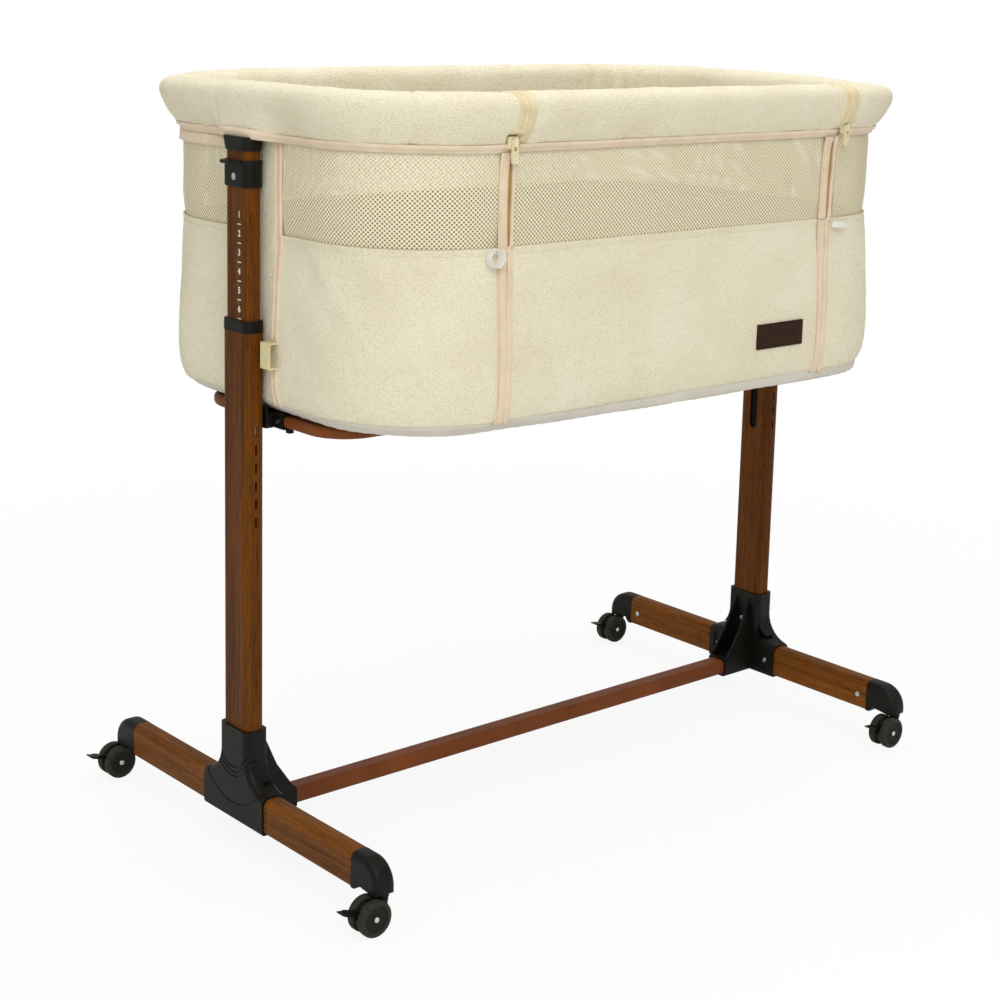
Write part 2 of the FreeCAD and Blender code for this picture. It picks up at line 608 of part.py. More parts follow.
def frame_brackets():
    """Bracket on the inner post: a neck through the groove and a channel round the frame tube."""
    inner_face, outer_face = S["inner_wide"] / 2, S["post_wide"] / 2
    reach = S["post_spacing"] / 2 - S["frame_long"]
    low, high = S["frame_under"], S["frame_under"] + S["frame_tall"]
    for name, side in SIDES:
        neck = box(inner_face, outer_face + 1, -5.6, 5.6, low - 2, 515.0)
        plate = box(outer_face + 0.6, outer_face + 3.6, -24, 24, low - 2.2, 516.0)
        plate = plate.makeFillet(3.0, edges_where(plate, lambda e: e.BoundBox.XLength > 2
                                                  and e.CenterOfMass.z > 515))
        web = box(outer_face + 3.4, reach - 2, -24, 24, low - 2.2, high + 2.2)
        web = web.cut(box(outer_face + 3.6, reach - 2, -20, -2, low - 3, high + 3))
        web = web.cut(box(outer_face + 3.6, reach - 2, 2, 20, low - 3, high + 3))
        end = S["bracket_half"]
        channel = box(reach - 2.2, reach + S["frame_wide"] + 2.2, -end, end, low - 2.2, high + 2.2)
        channel = channel.makeFillet(2.0, edges_where(channel, lambda e: e.BoundBox.YLength > 50))
        tube = box(reach - 0.05, reach + S["frame_wide"] + 0.05, -50, 50, low - 0.05, high + 0.05)
        slit = box(reach + S["frame_wide"] - 4, reach + S["frame_wide"] + 5, -50, 50, low + 2, high - 2)
        tab = box(reach + 3, reach + 9, -end - 6, 1 - end, low - 5.5, low - 0.2)
        tab = tab.fuse(box(reach + 3, reach + 9, end - 1, end + 6, low - 5.5, low - 0.2))
        shape = neck.fuse(plate).fuse(web).fuse(channel).fuse(tab).cut(tube).cut(slit).removeSplitter()
        if side > 0:
            shape = shape.mirror(Vector(0, 0, 0), Vector(1, 0, 0))
        own_shape("frame_bracket_" + name, shape, at(post_x(side), 0, 0))


def base_frame():
    """Loop of flat rounded steel tube under the basket, with two vent holes on its underside."""
    low, high = S["frame_under"], S["frame_under"] + S["frame_tall"]
    loop = plan_ring(S["frame_long"], S["frame_deep"], S["frame_round"], S["frame_wide"], low, high)
    loop = loop.makeFillet(4.5, edges_where(loop, lambda e: e.BoundBox.ZLength < 0.01))
    wall = S["tube_wall"]
    hollow = plan_ring(S["frame_long"] - wall, S["frame_deep"] - wall, S["frame_round"] - wall,
                       S["frame_wide"] - 2 * wall, low + wall, high - wall)
    hollow = hollow.makeFillet(3.0, edges_where(hollow, lambda e: e.BoundBox.ZLength < 0.01))
    for x in (-300.0, 300.0):
        vent = Part.makeCylinder(2.5, 6, Vector(x, S["frame_deep"] - S["frame_wide"] / 2, low - 1))
        hollow = hollow.fuse(vent)
    own_shape("base_frame", loop.cut(hollow), at(S["origin_shift"], 0, 0))


# ---------------------------------------------------------------- release and latch
def release_handles():
    """Black sleeve round the inner post with a finger lip, lifted to free the latch."""
    for name, side in SIDES:
        sleeve = rounded_block(S["inner_wide"] + 5.0, S["inner_deep"] + 5.0, S["post_round"] + 0.5, 758.0, 787.0)
        sleeve = sleeve.makeFillet(1.0, edges_where(sleeve, lambda e: e.CenterOfMass.z < 758.1))
        lip = rounded_block(S["inner_wide"] + 6.0, S["inner_deep"] + 6.0, S["post_round"] + 1.0, 783.5, 787.0)
        wing = rounded_block(28.0, 34.0, 13.0, 783.5, 787.0)
        wing.translate(Vector(side * 11.0, 0, 0))
        lip = lip.fuse(wing).removeSplitter()
        lip = lip.makeFillet(1.2, edges_where(lip, lambda e: e.BoundBox.ZLength < 0.01))
        hole = rounded_block(S["inner_wide"] + 0.8, S["inner_deep"] + 0.8, S["post_round"] - 1.1, 750.0, 800.0)
        outer = side * (S["inner_wide"] / 2 + 3.0)
        seat = Part.makeCylinder(4.4, 1.6, Vector(outer, 0, 769), Vector(-side, 0, 0))
        shank = Part.makeCylinder(1.8, 20, Vector(outer, 0, 769), Vector(-side, 0, 0))
        own_shape("release_handle_" + name, sleeve.fuse(lip).cut(hole).cut(seat).cut(shank), at(post_x(side), 0, 0))


def pull_rods():
    """Rod inside the inner post: screwed to the handle above, cross pin in the latch below."""
    for name, side in SIDES:
        outer = side * (S["inner_wide"] / 2 + 2.5)
        head = Part.makeCylinder(3.9, 1.2, Vector(outer + side * 0.1, 0, 769), Vector(-side, 0, 0))
        shank = Part.makeCylinder(1.8, abs(outer), Vector(outer, 0, 769), Vector(-side, 0, 0))
        block = box(-3.5, 3.5, -5, 5, 763.0, 775.0)
        rod = Part.makeCylinder(2.0, 763.0 - 503.0, Vector(0, 0, 503.0))
        fork = box(-3.4, 3.4, -4.0, 4.0, 484.0, 504.0).cut(box(-1.6, 1.6, -6, 6, 480.0, 501.5))
        pin = Part.makeCylinder(1.5, 6.8, Vector(-3.4, 0, 488.0), Vector(1, 0, 0))
        own_shape("pull_rod_" + name, head.fuse(shank).fuse(block).fuse(rod).fuse(fork).fuse(pin).removeSplitter(),
                  at(post_x(side), 0, 0))


def latches():
    """Hook plate with a slanted cam slot; lifting the rod's pin draws the hook in."""
    draw_in = S["lift"] * 0.45
    for name, side in SIDES:
        front = -S["post_deep"] / 2 + S["tube_wall"] + 0.35
        outline = [(front + 1.2, 484.6), (front, 485.8), (front, 495.4), (front + 1.4, 496.6), (-16.6, 496.6),
                   (-13.0, 500.6), (6.0, 500.6), (6.0, 484.0), (-13.0, 484.0), (-16.6, 488.6), (front + 2.4, 488.6)]
        plate = profile_solid(outline, Vector(2.6, 0, 0), lambda y, z: Vector(-1.3, y, z))
        slant = profile_solid([(1.9, 488.0), (-1.9, 488.0), (-1.9 - draw_in, 488.0 + S["lift"]),
                               (1.9 - draw_in, 488.0 + S["lift"])],
                              Vector(10, 0, 0), lambda y, z: Vector(-5, y, z))
        ends = [Part.makeCylinder(1.9, 10, Vector(-5, 0, 488.0), Vector(1, 0, 0)),
                Part.makeCylinder(1.9, 10, Vector(-5, -draw_in, 488.0 + S["lift"]), Vector(1, 0, 0))]
        own_shape("latch_hook_" + name, plate.cut(slant).cut(ends[0]).cut(ends[1]), at(post_x(side), 0, 0))


# ---------------------------------------------------------------- basket
def basket_block(shrink, low, high):
    return plan_block(S["basket_long"] - shrink, S["basket_deep"] - shrink, S["basket_round"] - shrink, low, high)


def basket_wall(shrink, thick, low, high):
    return basket_block(shrink, low, high).cut(basket_block(shrink + thick, low, high))


def front_opening(low, high, margin):
    """Space of the drop side between the zips, to cut out of the rim and the mesh."""
    half = S["zip_side"] + margin
    return box(-half, half, -S["basket_deep"] - 60, -S["basket_deep"] / 2, low, high)


def rail_path(half_gap):
    """C-shaped centre line of the rail, open at the front between the zips."""
    a, b, r = S["basket_long"] + 3.0, S["basket_deep"] + 3.0, S["basket_round"] + 3.0
    z = S["rim_under"] + S["rim_tall"] / 2
    d = r * math.sqrt(0.5)
    stops = [(-half_gap, -b), (-a + r, -b), (-a, -b + r), (-a, b - r), (-a + r, b), (a - r, b), (a, b - r),
             (a, -b + r), (a - r, -b), (half_gap, -b)]
    vias = {1: (-a + r - d, -b + r - d), 3: (-a + r - d, b - r + d), 5: (a - r + d, b - r + d),
            7: (a - r + d, -b + r - d)}
    edges = []
    for i, (p, q) in enumerate(zip(stops, stops[1:])):
        if i in vias:
            edges.append(Part.Arc(Vector(*p, z), Vector(*vias[i], z), Vector(*q, z)).toShape())
        else:
            edges.append(Part.makeLine(Vector(*p, z), Vector(*q, z)))
    return Part.Wire(edges)


RIM_OUTER = ((1.5, 0.0), (6.5, 4.5), (13.0, 12.5), (18.5, 22.5), (22.8, 34.0), (25.8, 45.0), (25.7, 51.0),
             (22.0, 55.6), (14.0, 58.0))
RIM_INNER = ((8.0, 0.0), (14.0, 4.0), (18.5, 12.0), (20.8, 26.0), (21.0, 38.0), (19.5, 48.0), (15.0, 54.6), (8.0, 58.0))


def rim_shell(sections, sign):
    """Stack of plan outlines, each given as its distance from the wall and its height on the rim."""
    wires = [plan_wire(S["basket_long"] + sign * s, S["basket_deep"] + sign * s, S["basket_round"] + sign * s,
                       S["rim_under"] + z * S["rim_tall"] / 58.0) for s, z in sections]
    return Part.makeLoft(wires, True, False)


def rim_block():
    """Whole padded rim: widest near the top, its outer side slopes in to the binding."""
    ring = rim_shell(RIM_OUTER, 1).cut(rim_shell(RIM_INNER, -1))
    for name, side in SIDES:
        near, far = sorted((side * (S["zip_side"] - 0.1), side * (S["zip_side"] + 13.8)))
        ring = ring.cut(box(near, far, -S["basket_deep"] - 60, -S["basket_deep"] - 5.6, S["rim_under"] - 1,
                            S["rim_under"] + 14.0))
    return ring


def rim_and_rail():
    half_gap = S["zip_side"] + S["zip_gap"]
    z = S["rim_under"] + S["rim_tall"] / 2
    path = rail_path(half_gap)
    start = Vector(-half_gap, -S["basket_deep"] - 3.0, z)
    tube = Part.Wire(path).makePipeShell([circle_wire(S["rail_size"] / 2, start)], True, False)
    bore = Part.Wire(path).makePipeShell([circle_wire(S["rail_size"] / 2 + 0.2, start)], True, False)
    hollow = Part.Wire(path).makePipeShell([circle_wire(S["rail_size"] / 2 - 1.2, start)], True, False)
    low, high = S["rim_under"] - 5, S["rim_under"] + S["rim_tall"] + 5
    ring = rim_block().cut(front_opening(low, high, S["zip_gap"])).cut(bore)
    for name, side in SIDES:
        rail_x = side * (S["basket_long"] + 3.0)
        ring = ring.cut(box(rail_x - 7.2, rail_x + 7.2, -12.2, 12.2, S["rim_under"] - 1, z))
    own_shape("rim_pad", ring, at(S["origin_shift"], 0, 0))
    own_shape("top_rail", tube.cut(hollow), at(S["origin_shift"], 0, 0))


def circle_wire(radius, centre):
    return Part.Wire(Part.Circle(centre, Vector(1, 0, 0), radius).toShape())


def soft_walls():
    shift = at(S["origin_shift"], 0, 0)
    own_shape("side_panel", basket_wall(0, 5.0, S["hem"], S["mesh_line"]), shift)
    mesh = basket_wall(0.0, 1.6, S["mesh_line"], S["rim_under"])
    own_shape("mesh_panels", mesh.cut(front_opening(S["mesh_line"], S["rim_under"], S["zip_gap"])), shift)
    binding = basket_wall(-3.0, 3.0, S["rim_under"] - 7, S["rim_under"])
    binding = binding.cut(front_opening(S["rim_under"] - 20, S["rim_under"] + 5, 14.0))
    for name, side in SIDES:
        near, far = sorted((side * (S["basket_long"] - 1), side * (S["basket_long"] + 5)))
        binding = binding.cut(box(near, far, -27, 27, S["rim_under"] - 20, S["rim_under"] + 5))
    own_shape("rim_binding", binding, shift)
    frame_top = S["frame_under"] + S["frame_tall"]
    cover = basket_block(3.0, frame_top, frame_top + 2.5)
    cover = cover.fuse(basket_wall(3.0, 3.0, frame_top, S["hem"])).removeSplitter()
    for name, side in SIDES:
        near, far = sorted((side * (S["frame_long"] - S["frame_wide"] - 2.8), side * (S["basket_long"] + 1)))
        cover = cover.cut(box(near, far, -S["bracket_half"] - 0.8, S["bracket_half"] + 0.8, frame_top - 1, frame_top + 2.52))
    own_shape("bottom_cover", cover, shift)
    own_shape("base_board", basket_block(22.0, frame_top + 2.6, frame_top + 8.6), shift)
    own_shape("mattress", mattress_shape(frame_top + 8.8), shift)


def mattress_shape(low):
    """Foam mattress with rounded edges and a slight crown."""
    sections = [(9.5, 0.0), (8.0, 4.0), (7.2, 14.0), (7.2, 28.0), (8.4, 38.0), (13.0, 43.0), (40.0, 45.5)]
    wires = [plan_wire(S["basket_long"] - s, S["basket_deep"] - s, S["basket_round"] - s, low + z)
             for s, z in sections]
    return Part.makeLoft(wires, True, True)


def trims():
    shift = at(S["origin_shift"], 0, 0)
    front = -S["basket_deep"]
    tapes = []
    for name, side in SIDES:
        near, far = sorted((side * (S["zip_side"] + S["zip_gap"]), side * (S["zip_side"] + 14.0)))
        tapes.append(box(near, far, front - 1.4, front, S["hem"], S["rim_under"] - 0.2))
    own_shape("zip_tapes", Part.Compound(tapes), shift)
    label = box(128, 208, front - 1.8, front, 560, 590)
    label = label.makeFillet(1.2, edges_where(label, lambda e: e.BoundBox.YLength > 1))
    own_shape("label_patch", label, shift)
    loops = []
    for side, x in ((-1, -279.0), (1, 272.0)):
        loop = box(x - 11, x + 11, front - 6.0, front, 692, 703).cut(Part.Compound(tapes))
        loops.append(loop.makeFillet(2.4, edges_where(loop, lambda e: e.CenterOfMass.y < front - 5.8)))
    own_shape("ribbon_loops", Part.Compound(loops), shift)


def buckle_shape():
    """Open half of a side-release buckle: mouth towards -Y, strap bar behind."""
    housing = box(-17.5, 0, -51, -35, -15, 15)
    housing = housing.makeFillet(2.0, edges_where(housing, lambda e: e.BoundBox.YLength > 10))
    mouth = box(-15.3, -2.2, -52, -37, -12.7, 12.7)
    windows = box(-12.5, -5.0, -47.5, -39, -16, 16)
    tail = box(-12.0, 0, -35.5, -27, -12, 12)
    tail = tail.cut(box(-9.6, -2.4, -33.5, -29.5, -20, 20))
    return housing.cut(mouth).cut(windows).fuse(tail)


def buckles():
    for name, side in SIDES:
        shape = buckle_shape()
        if side > 0:
            shape = shape.mirror(Vector(0, 0, 0), Vector(1, 0, 0))
        own_shape("buckle_" + name, shape, at(side * S["basket_long"] + S["origin_shift"], 0, 578.0))


def bracket_screws():
    screws = []
    for name, side in SIDES:
        for y in (-33.0, 33.0):
            face = post_x(side) - side * (S["post_spacing"] / 2 - S["frame_long"] - 2.2)
            head = Part.makeCylinder(2.6, 1.2, Vector(face, y, S["frame_under"] + S["frame_tall"] / 2),
                                     Vector(side, 0, 0))
            shank = Part.makeCylinder(1.5, 6, Vector(face, y, S["frame_under"] + S["frame_tall"] / 2),
                                      Vector(-side, 0, 0))
            screws.append(head.fuse(shank))
    own_shape("bracket_screws", Part.Compound(screws))


# ---------------------------------------------------------------- drop side and zips
def drop_side():
    shift = at(S["origin_shift"], 0, 0)
    half = S["zip_side"] - S["zip_gap"]
    low, high = S["rim_under"], S["rim_under"] + S["rim_tall"]
    z, y = (low + high) / 2, -S["basket_deep"] - 3.0
    pad_block = rim_block().common(box(-half, half, -S["basket_deep"] - 60, -S["basket_deep"] / 2, low, high))
    bore = Part.makeCylinder(S["rail_size"] / 2 + 0.2, 2 * half + 2, Vector(-half - 1, y, z), Vector(1, 0, 0))
    own_shape("drop_pad", pad_block.cut(bore), shift)
    rail = Part.makeCylinder(S["rail_size"] / 2, 2 * half, Vector(-half, y, z), Vector(1, 0, 0))
    core = Part.makeCylinder(S["rail_size"] / 2 - 1.2, 2 * half, Vector(-half, y, z), Vector(1, 0, 0))
    own_shape("drop_rail", rail.cut(core), shift)
    own_shape("drop_mesh", box(-half, half, -S["basket_deep"], -S["basket_deep"] + 1.6, S["mesh_line"] + 1.2, low), shift)


def zips():
    """Slider with a bridge for the pull; at rest it closes the zip under the rim."""
    back, low = -S["basket_deep"] - 6.5, S["rim_under"] + 0.5
    pin_z = low + 8.4
    for name, side in SIDES:
        x = side * (S["zip_side"] + S["zip_gap"] + 5.6) + S["origin_shift"]
        body = box(-6.0, 6.0, back - 4.3, back, low, low + 12.5)
        body = body.makeFillet(1.2, edges_where(body, lambda e: e.BoundBox.ZLength > 10
                                                and e.CenterOfMass.y < back - 4))
        body = body.cut(box(-4.6, 4.6, back - 2.9, back - 1.5, low - 1, low + 14))
        bridge = box(-2.0, 2.0, back - 8.1, back - 4.0, low + 2.0, low + 11.0)
        pin = Vector(-5, back - 6.1, pin_z)
        bridge = bridge.cut(Part.makeCylinder(1.5, 10, pin, Vector(1, 0, 0)))
        own_shape("zip_slider_" + name, body.fuse(bridge), at(x, 0, 0))
        ring = Part.makeCylinder(1.2, 4.6, Vector(-2.3, pin.y, pin_z), Vector(1, 0, 0))
        front, rear = back - 7.3, back - 4.9
        arms = box(-4.2, -2.2, front, rear, pin_z - 13.0, pin_z + 1.2)
        arms = arms.fuse(box(2.2, 4.2, front, rear, pin_z - 13.0, pin_z + 1.2))
        grip = box(-4.2, 4.2, front, rear, pin_z - 24.0, pin_z - 11.0)
        grip = grip.makeFillet(2.0, edges_where(grip, lambda e: e.BoundBox.YLength > 2
                                                and e.CenterOfMass.z < pin_z - 22))
        grip = grip.cut(box(-2.0, 2.0, front - 1, front + 0.7, pin_z - 21.5, pin_z - 13.0))
        own_shape("zip_pull_" + name, ring.fuse(arms).fuse(grip).removeSplitter(), at(x, 0, 0))


def check_and_write():
    doc.recompute()
    for thing in doc.Objects:
        if "Invalid" in thing.State or "Error" in thing.State:
            raise ValueError("failed object: %s %s" % (thing.Label, thing.State))
    os.makedirs("parts", exist_ok=True)
    for thing in subparts:
        if thing.Shape.isNull() or not thing.Shape.isValid() or not thing.Shape.Solids:
            raise ValueError("bad shape: " + thing.Label)
        thing.Shape.exportStep("parts/%s.step" % thing.Label)
    print(len(subparts), "sub-parts written")


foot_bars()
stretcher()
outer_posts()
tees()
collars()
foot_caps()
stand_screws()
casters()
inner_posts()
post_caps()
frame_brackets()
base_frame()
release_handles()
pull_rods()
latches()
rim_and_rail()
soft_walls()
trims()
buckles()
bracket_screws()
drop_side()
zips()
check_and_write()
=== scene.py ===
"""Bedside sleeper crib: cloth basket, padded rim, zips, walnut print tubes and black mouldings.

Metres throughout. The front, with the zips and the label, faces -Y. X runs from the left post to the right.
"""
import math

import bmesh
import bpy
from mathutils import Matrix, Vector, noise


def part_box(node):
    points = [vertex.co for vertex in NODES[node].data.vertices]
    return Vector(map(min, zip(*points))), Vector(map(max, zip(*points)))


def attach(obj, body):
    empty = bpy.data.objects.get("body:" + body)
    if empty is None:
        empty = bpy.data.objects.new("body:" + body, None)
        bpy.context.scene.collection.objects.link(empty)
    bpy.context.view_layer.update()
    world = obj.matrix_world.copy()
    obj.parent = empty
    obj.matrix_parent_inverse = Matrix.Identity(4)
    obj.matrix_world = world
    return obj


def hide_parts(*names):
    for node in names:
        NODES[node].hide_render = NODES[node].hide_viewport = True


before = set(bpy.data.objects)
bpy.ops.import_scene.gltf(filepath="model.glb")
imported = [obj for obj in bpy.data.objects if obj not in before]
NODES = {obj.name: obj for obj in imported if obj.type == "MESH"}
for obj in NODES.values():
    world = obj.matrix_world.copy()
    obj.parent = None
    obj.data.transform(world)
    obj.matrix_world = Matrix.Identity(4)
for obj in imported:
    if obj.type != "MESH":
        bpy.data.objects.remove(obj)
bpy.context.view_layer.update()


# ---------------------------------------------------------------- sizes, in metres
def span(node, axis):
    low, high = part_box(node)
    return low[axis], high[axis]


# A place round the basket is u, the length along its wall from the front middle, leftwards.
WALL_X = span("side_panel", 0)
MIDDLE = (WALL_X[0] + WALL_X[1]) / 2
HALF_LONG = (WALL_X[1] - WALL_X[0]) / 2
HALF_DEEP = span("side_panel", 1)[1]
CORNER = 0.135
HEM, MESH_LINE = span("side_panel", 2)
RIM_LOW, RIM_HIGH = span("rim_pad", 2)
ZIP = 0.257
STRAIGHT = HALF_LONG - CORNER
END_STRAIGHT = HALF_DEEP - CORNER
ARC = math.pi / 2 * CORNER
ROUND = 4 * STRAIGHT + 4 * END_STRAIGHT + 4 * ARC
LEFT_END = STRAIGHT + ARC + END_STRAIGHT
RIGHT_END = ROUND - LEFT_END
BACK_LEFT = LEFT_END + END_STRAIGHT
SIDES = (("left", -1), ("right", 1))


# ---------------------------------------------------------------- node and colour tools
def colour(code):
    """sRGB hex to the linear colour that a shader socket takes."""
    parts = [int(code[i:i + 2], 16) / 255 for i in (1, 3, 5)]
    linear = [p / 12.92 if p <= 0.04045 else ((p + 0.055) / 1.055) ** 2.4 for p in parts]
    return tuple(linear) + (1.0,)


def add(owner, kind, settings=None, **links):
    """Add one node; settings are attributes, input values or a ramp's stops, links are output sockets."""
    node = owner.node_tree.nodes.new("ShaderNode" + kind)
    for key, value in (settings or {}).items():
        if key == "stops":
            points = node.color_ramp.elements
            while len(points) < len(value):
                points.new(0.5)
            for point, (place, code) in zip(points, value):
                point.position = place
                point.color = colour(code)
        elif isinstance(key, str) and hasattr(node, key):
            setattr(node, key, value)
        else:
            node.inputs[key].default_value = value
    plug(owner, node, **links)
    return node


def plug(owner, node, **links):
    """Link output sockets to a node's inputs, named or as _ and their number."""
    for key, socket in links.items():
        place = int(key[1:]) if key[0] == "_" and key[1:].isdigit() else key.replace("_", " ")
        owner.node_tree.links.new(socket, node.inputs[place])


def new_material(name, roughness, base="#808080", metallic=0.0, specular=0.5, sheen=0.0):
    material = bpy.data.materials.new(name)
    material.use_nodes = True
    shader = material.node_tree.nodes["Principled BSDF"]
    shader.inputs["Roughness"].default_value = roughness
    shader.inputs["Metallic"].default_value = metallic
    shader.inputs["Base Color"].default_value = colour(base)
    shader.inputs["Specular IOR Level"].default_value = specular
    shader.inputs["Sheen Weight"].default_value = sheen
    return material, shader


def mottled(material, place, scale, detail, deep, pale):
    """Cloudy pattern and the tone that it gives: deep in its hollows, pale on its heights."""
    cloud = add(material, "TexNoise", {"Scale": scale, "Detail": detail}, Vector=place).outputs[0]
    return cloud, add(material, "ValToRGB", {"stops": ((0.3, deep), (0.7, pale))}, Fac=cloud).outputs[0]


# ---------------------------------------------------------------- materials
# A pattern's scale is 1 / the size in metres of what it draws.
def walnut_print(name, along, tones, dark_below=None):
    """Walnut film heat-wrapped on steel tube: long grain, short dark pores, satin.

    dark_below, when given, is a height below which the post is coloured near-black: on an inner post, just
    above the collar's bottom, inside the outer post, where its slots show it."""
    material, shader = new_material(name, 0.48, specular=0.1)
    place = add(material, "TexCoord").outputs["Object"]
    layers = []
    for lengthways, across, settings in ((2.2, 60, {"Detail": 3.0, "Distortion": 1.4}),
                                         (9, 420, {"Detail": 4.0, "Roughness": 0.6}),
                                         (55, 1500, {"Detail": 1.0})):
        scale = [lengthways if axis == along else across for axis in "XYZ"]
        drawn = add(material, "Mapping", {"Scale": scale}, Vector=place).outputs[0]
        layers.append(add(material, "TexNoise", {"Scale": 1.0, **settings}, Vector=drawn).outputs[0])
    bands, grain, pores = layers
    tone = add(material, "Mix", {"data_type": "FLOAT", 0: 0.5}, _2=bands, _3=grain).outputs[0]
    wood = add(material, "ValToRGB", {"stops": tuple(zip((0.30, 0.46, 0.58, 0.74), tones))}, Fac=tone)
    dark = add(material, "ValToRGB", {"stops": ((0.36, "#5E5048"), (0.44, "#FFFFFF"))}, Fac=pores)
    tone = add(material, "Mix", {"data_type": "RGBA", "blend_type": "MULTIPLY", 0: 0.55},
               _6=wood.outputs[0], _7=dark.outputs[0]).outputs[2]
    if dark_below:
        high = add(material, "SeparateXYZ", None, Vector=place).outputs[2]
        bare = add(material, "Math", {"operation": "LESS_THAN", 1: dark_below}, _0=high).outputs[0]
        tone = add(material, "Mix", {"data_type": "RGBA", 7: colour("#0A0906")}, _0=bare, _6=tone).outputs[2]
    pits = add(material, "Bump", {"Strength": 0.25, "Distance": 0.0002}, Height=pores).outputs[0]
    plug(material, shader, Base_Color=tone, Normal=pits)
    return material


def brown_paint():
    """Brown powder coat on steel: even colour, orange peel about a millimetre across."""
    material, shader = new_material("brown_powder_coat", 0.45, "#6E4028", specular=0.18)
    place = add(material, "TexCoord").outputs["Object"]
    peel = add(material, "TexNoise", {"Scale": 900.0, "Detail": 2.0}, Vector=place).outputs[0]
    tone = mottled(material, place, 14.0, 2.0, "#68340F", "#7A4018")[1]
    dimples = add(material, "Bump", {"Strength": 0.2, "Distance": 0.0002}, Height=peel).outputs[0]
    plug(material, shader, Base_Color=tone, Normal=dimples)
    return material


def wheel_places(material, place, centre):
    """Distance from a caster's axle line, and distance along it from the middle of the caster."""
    local = add(material, "Mapping", {"Location": [-c for c in centre]}, Vector=place).outputs[0]
    flat = add(material, "VectorMath", {"operation": "MULTIPLY", 1: (1, 0, 1)}, _0=local).outputs[0]
    reach = add(material, "VectorMath", {"operation": "LENGTH"}, _0=flat).outputs["Value"]
    along = add(material, "SeparateXYZ", None, Vector=local).outputs[1]
    return reach, add(material, "Math", {"operation": "ABSOLUTE"}, _0=along).outputs[0]


def black_moulding(name="black_grained_pp", metal_at=None):
    """Spark-textured black polypropylene: a grain of about 0.6 mm, dull and slightly warm.

    metal_at is the middle of a caster, whose axle ends show in the yoke as steel."""
    material, shader = new_material(name, 0.48, "#100F0B", specular=0.18)
    place = add(material, "TexCoord").outputs["Object"]
    grain = add(material, "TexNoise", {"Scale": 1600.0, "Detail": 2.0}, Vector=place).outputs[0]
    cloud, tone = mottled(material, place, 40.0, 3.0, "#0B0A07", "#13120D")
    rough = add(material, "MapRange", {1: 0.3, 2: 0.7, 3: 0.40, 4: 0.52}, Value=cloud).outputs[0]
    if metal_at:
        axle_radius, axle_end = 0.0034, 0.0120
        reach, side = wheel_places(material, place, metal_at)
        near_axle = add(material, "Math", {"operation": "LESS_THAN", 1: axle_radius}, _0=reach).outputs[0]
        outer = add(material, "Math", {"operation": "GREATER_THAN", 1: axle_end}, _0=side).outputs[0]
        steel = add(material, "Math", {"operation": "MULTIPLY"}, _0=near_axle, _1=outer).outputs[0]
        tone = add(material, "Mix", {"data_type": "RGBA", 7: colour("#DADAD2")}, _0=steel, _6=tone).outputs[2]
        plug(material, shader, Metallic=steel)
    grained = add(material, "Bump", {"Strength": 0.3, "Distance": 0.0002}, Height=grain).outputs[0]
    plug(material, shader, Base_Color=tone, Roughness=rough, Normal=grained)
    return material


def zinc_plate():
    """Bright zinc plating: pale metal, slightly cloudy."""
    material, shader = new_material("zinc_plated_steel", 0.3, "#C9C9C6", 1.0)
    place = add(material, "TexCoord").outputs["Object"]
    cloud, tone = mottled(material, place, 300.0, 3.0, "#B4B4B2", "#D8D8D4")
    rough = add(material, "MapRange", {1: 0.3, 2: 0.7, 3: 0.22, 4: 0.4}, Value=cloud).outputs[0]
    plug(material, shader, Base_Color=tone, Roughness=rough)
    return material


def caster_rubber(name, centre):
    """Twin wheel: olive-grey rubber tread round a black nylon disc."""
    material, shader = new_material("caster_" + name, 0.6, specular=0.2)
    disc_edge, tread_start = 0.0142, 0.0146
    place = add(material, "TexCoord").outputs["Object"]
    reach = wheel_places(material, place, centre)[0]
    mask = add(material, "MapRange", {1: disc_edge, 2: tread_start, 3: 0.0, 4: 1.0}, Value=reach).outputs[0]
    dust = add(material, "TexNoise", {"Scale": 260.0, "Detail": 4.0}, Vector=place).outputs[0]
    tread = add(material, "ValToRGB", {"stops": ((0.3, "#24241A"), (0.7, "#303022"))}, Fac=dust).outputs[0]
    disc = add(material, "ValToRGB", {"stops": ((0.3, "#12120F"), (0.7, "#1A1A16"))}, Fac=dust).outputs[0]
    tone = add(material, "Mix", {"data_type": "RGBA"}, _0=mask, _6=disc, _7=tread).outputs[2]
    worn = add(material, "Bump", {"Strength": 0.2, "Distance": 0.0003}, Height=dust).outputs[0]
    plug(material, shader, Base_Color=tone, Normal=worn)
    return material


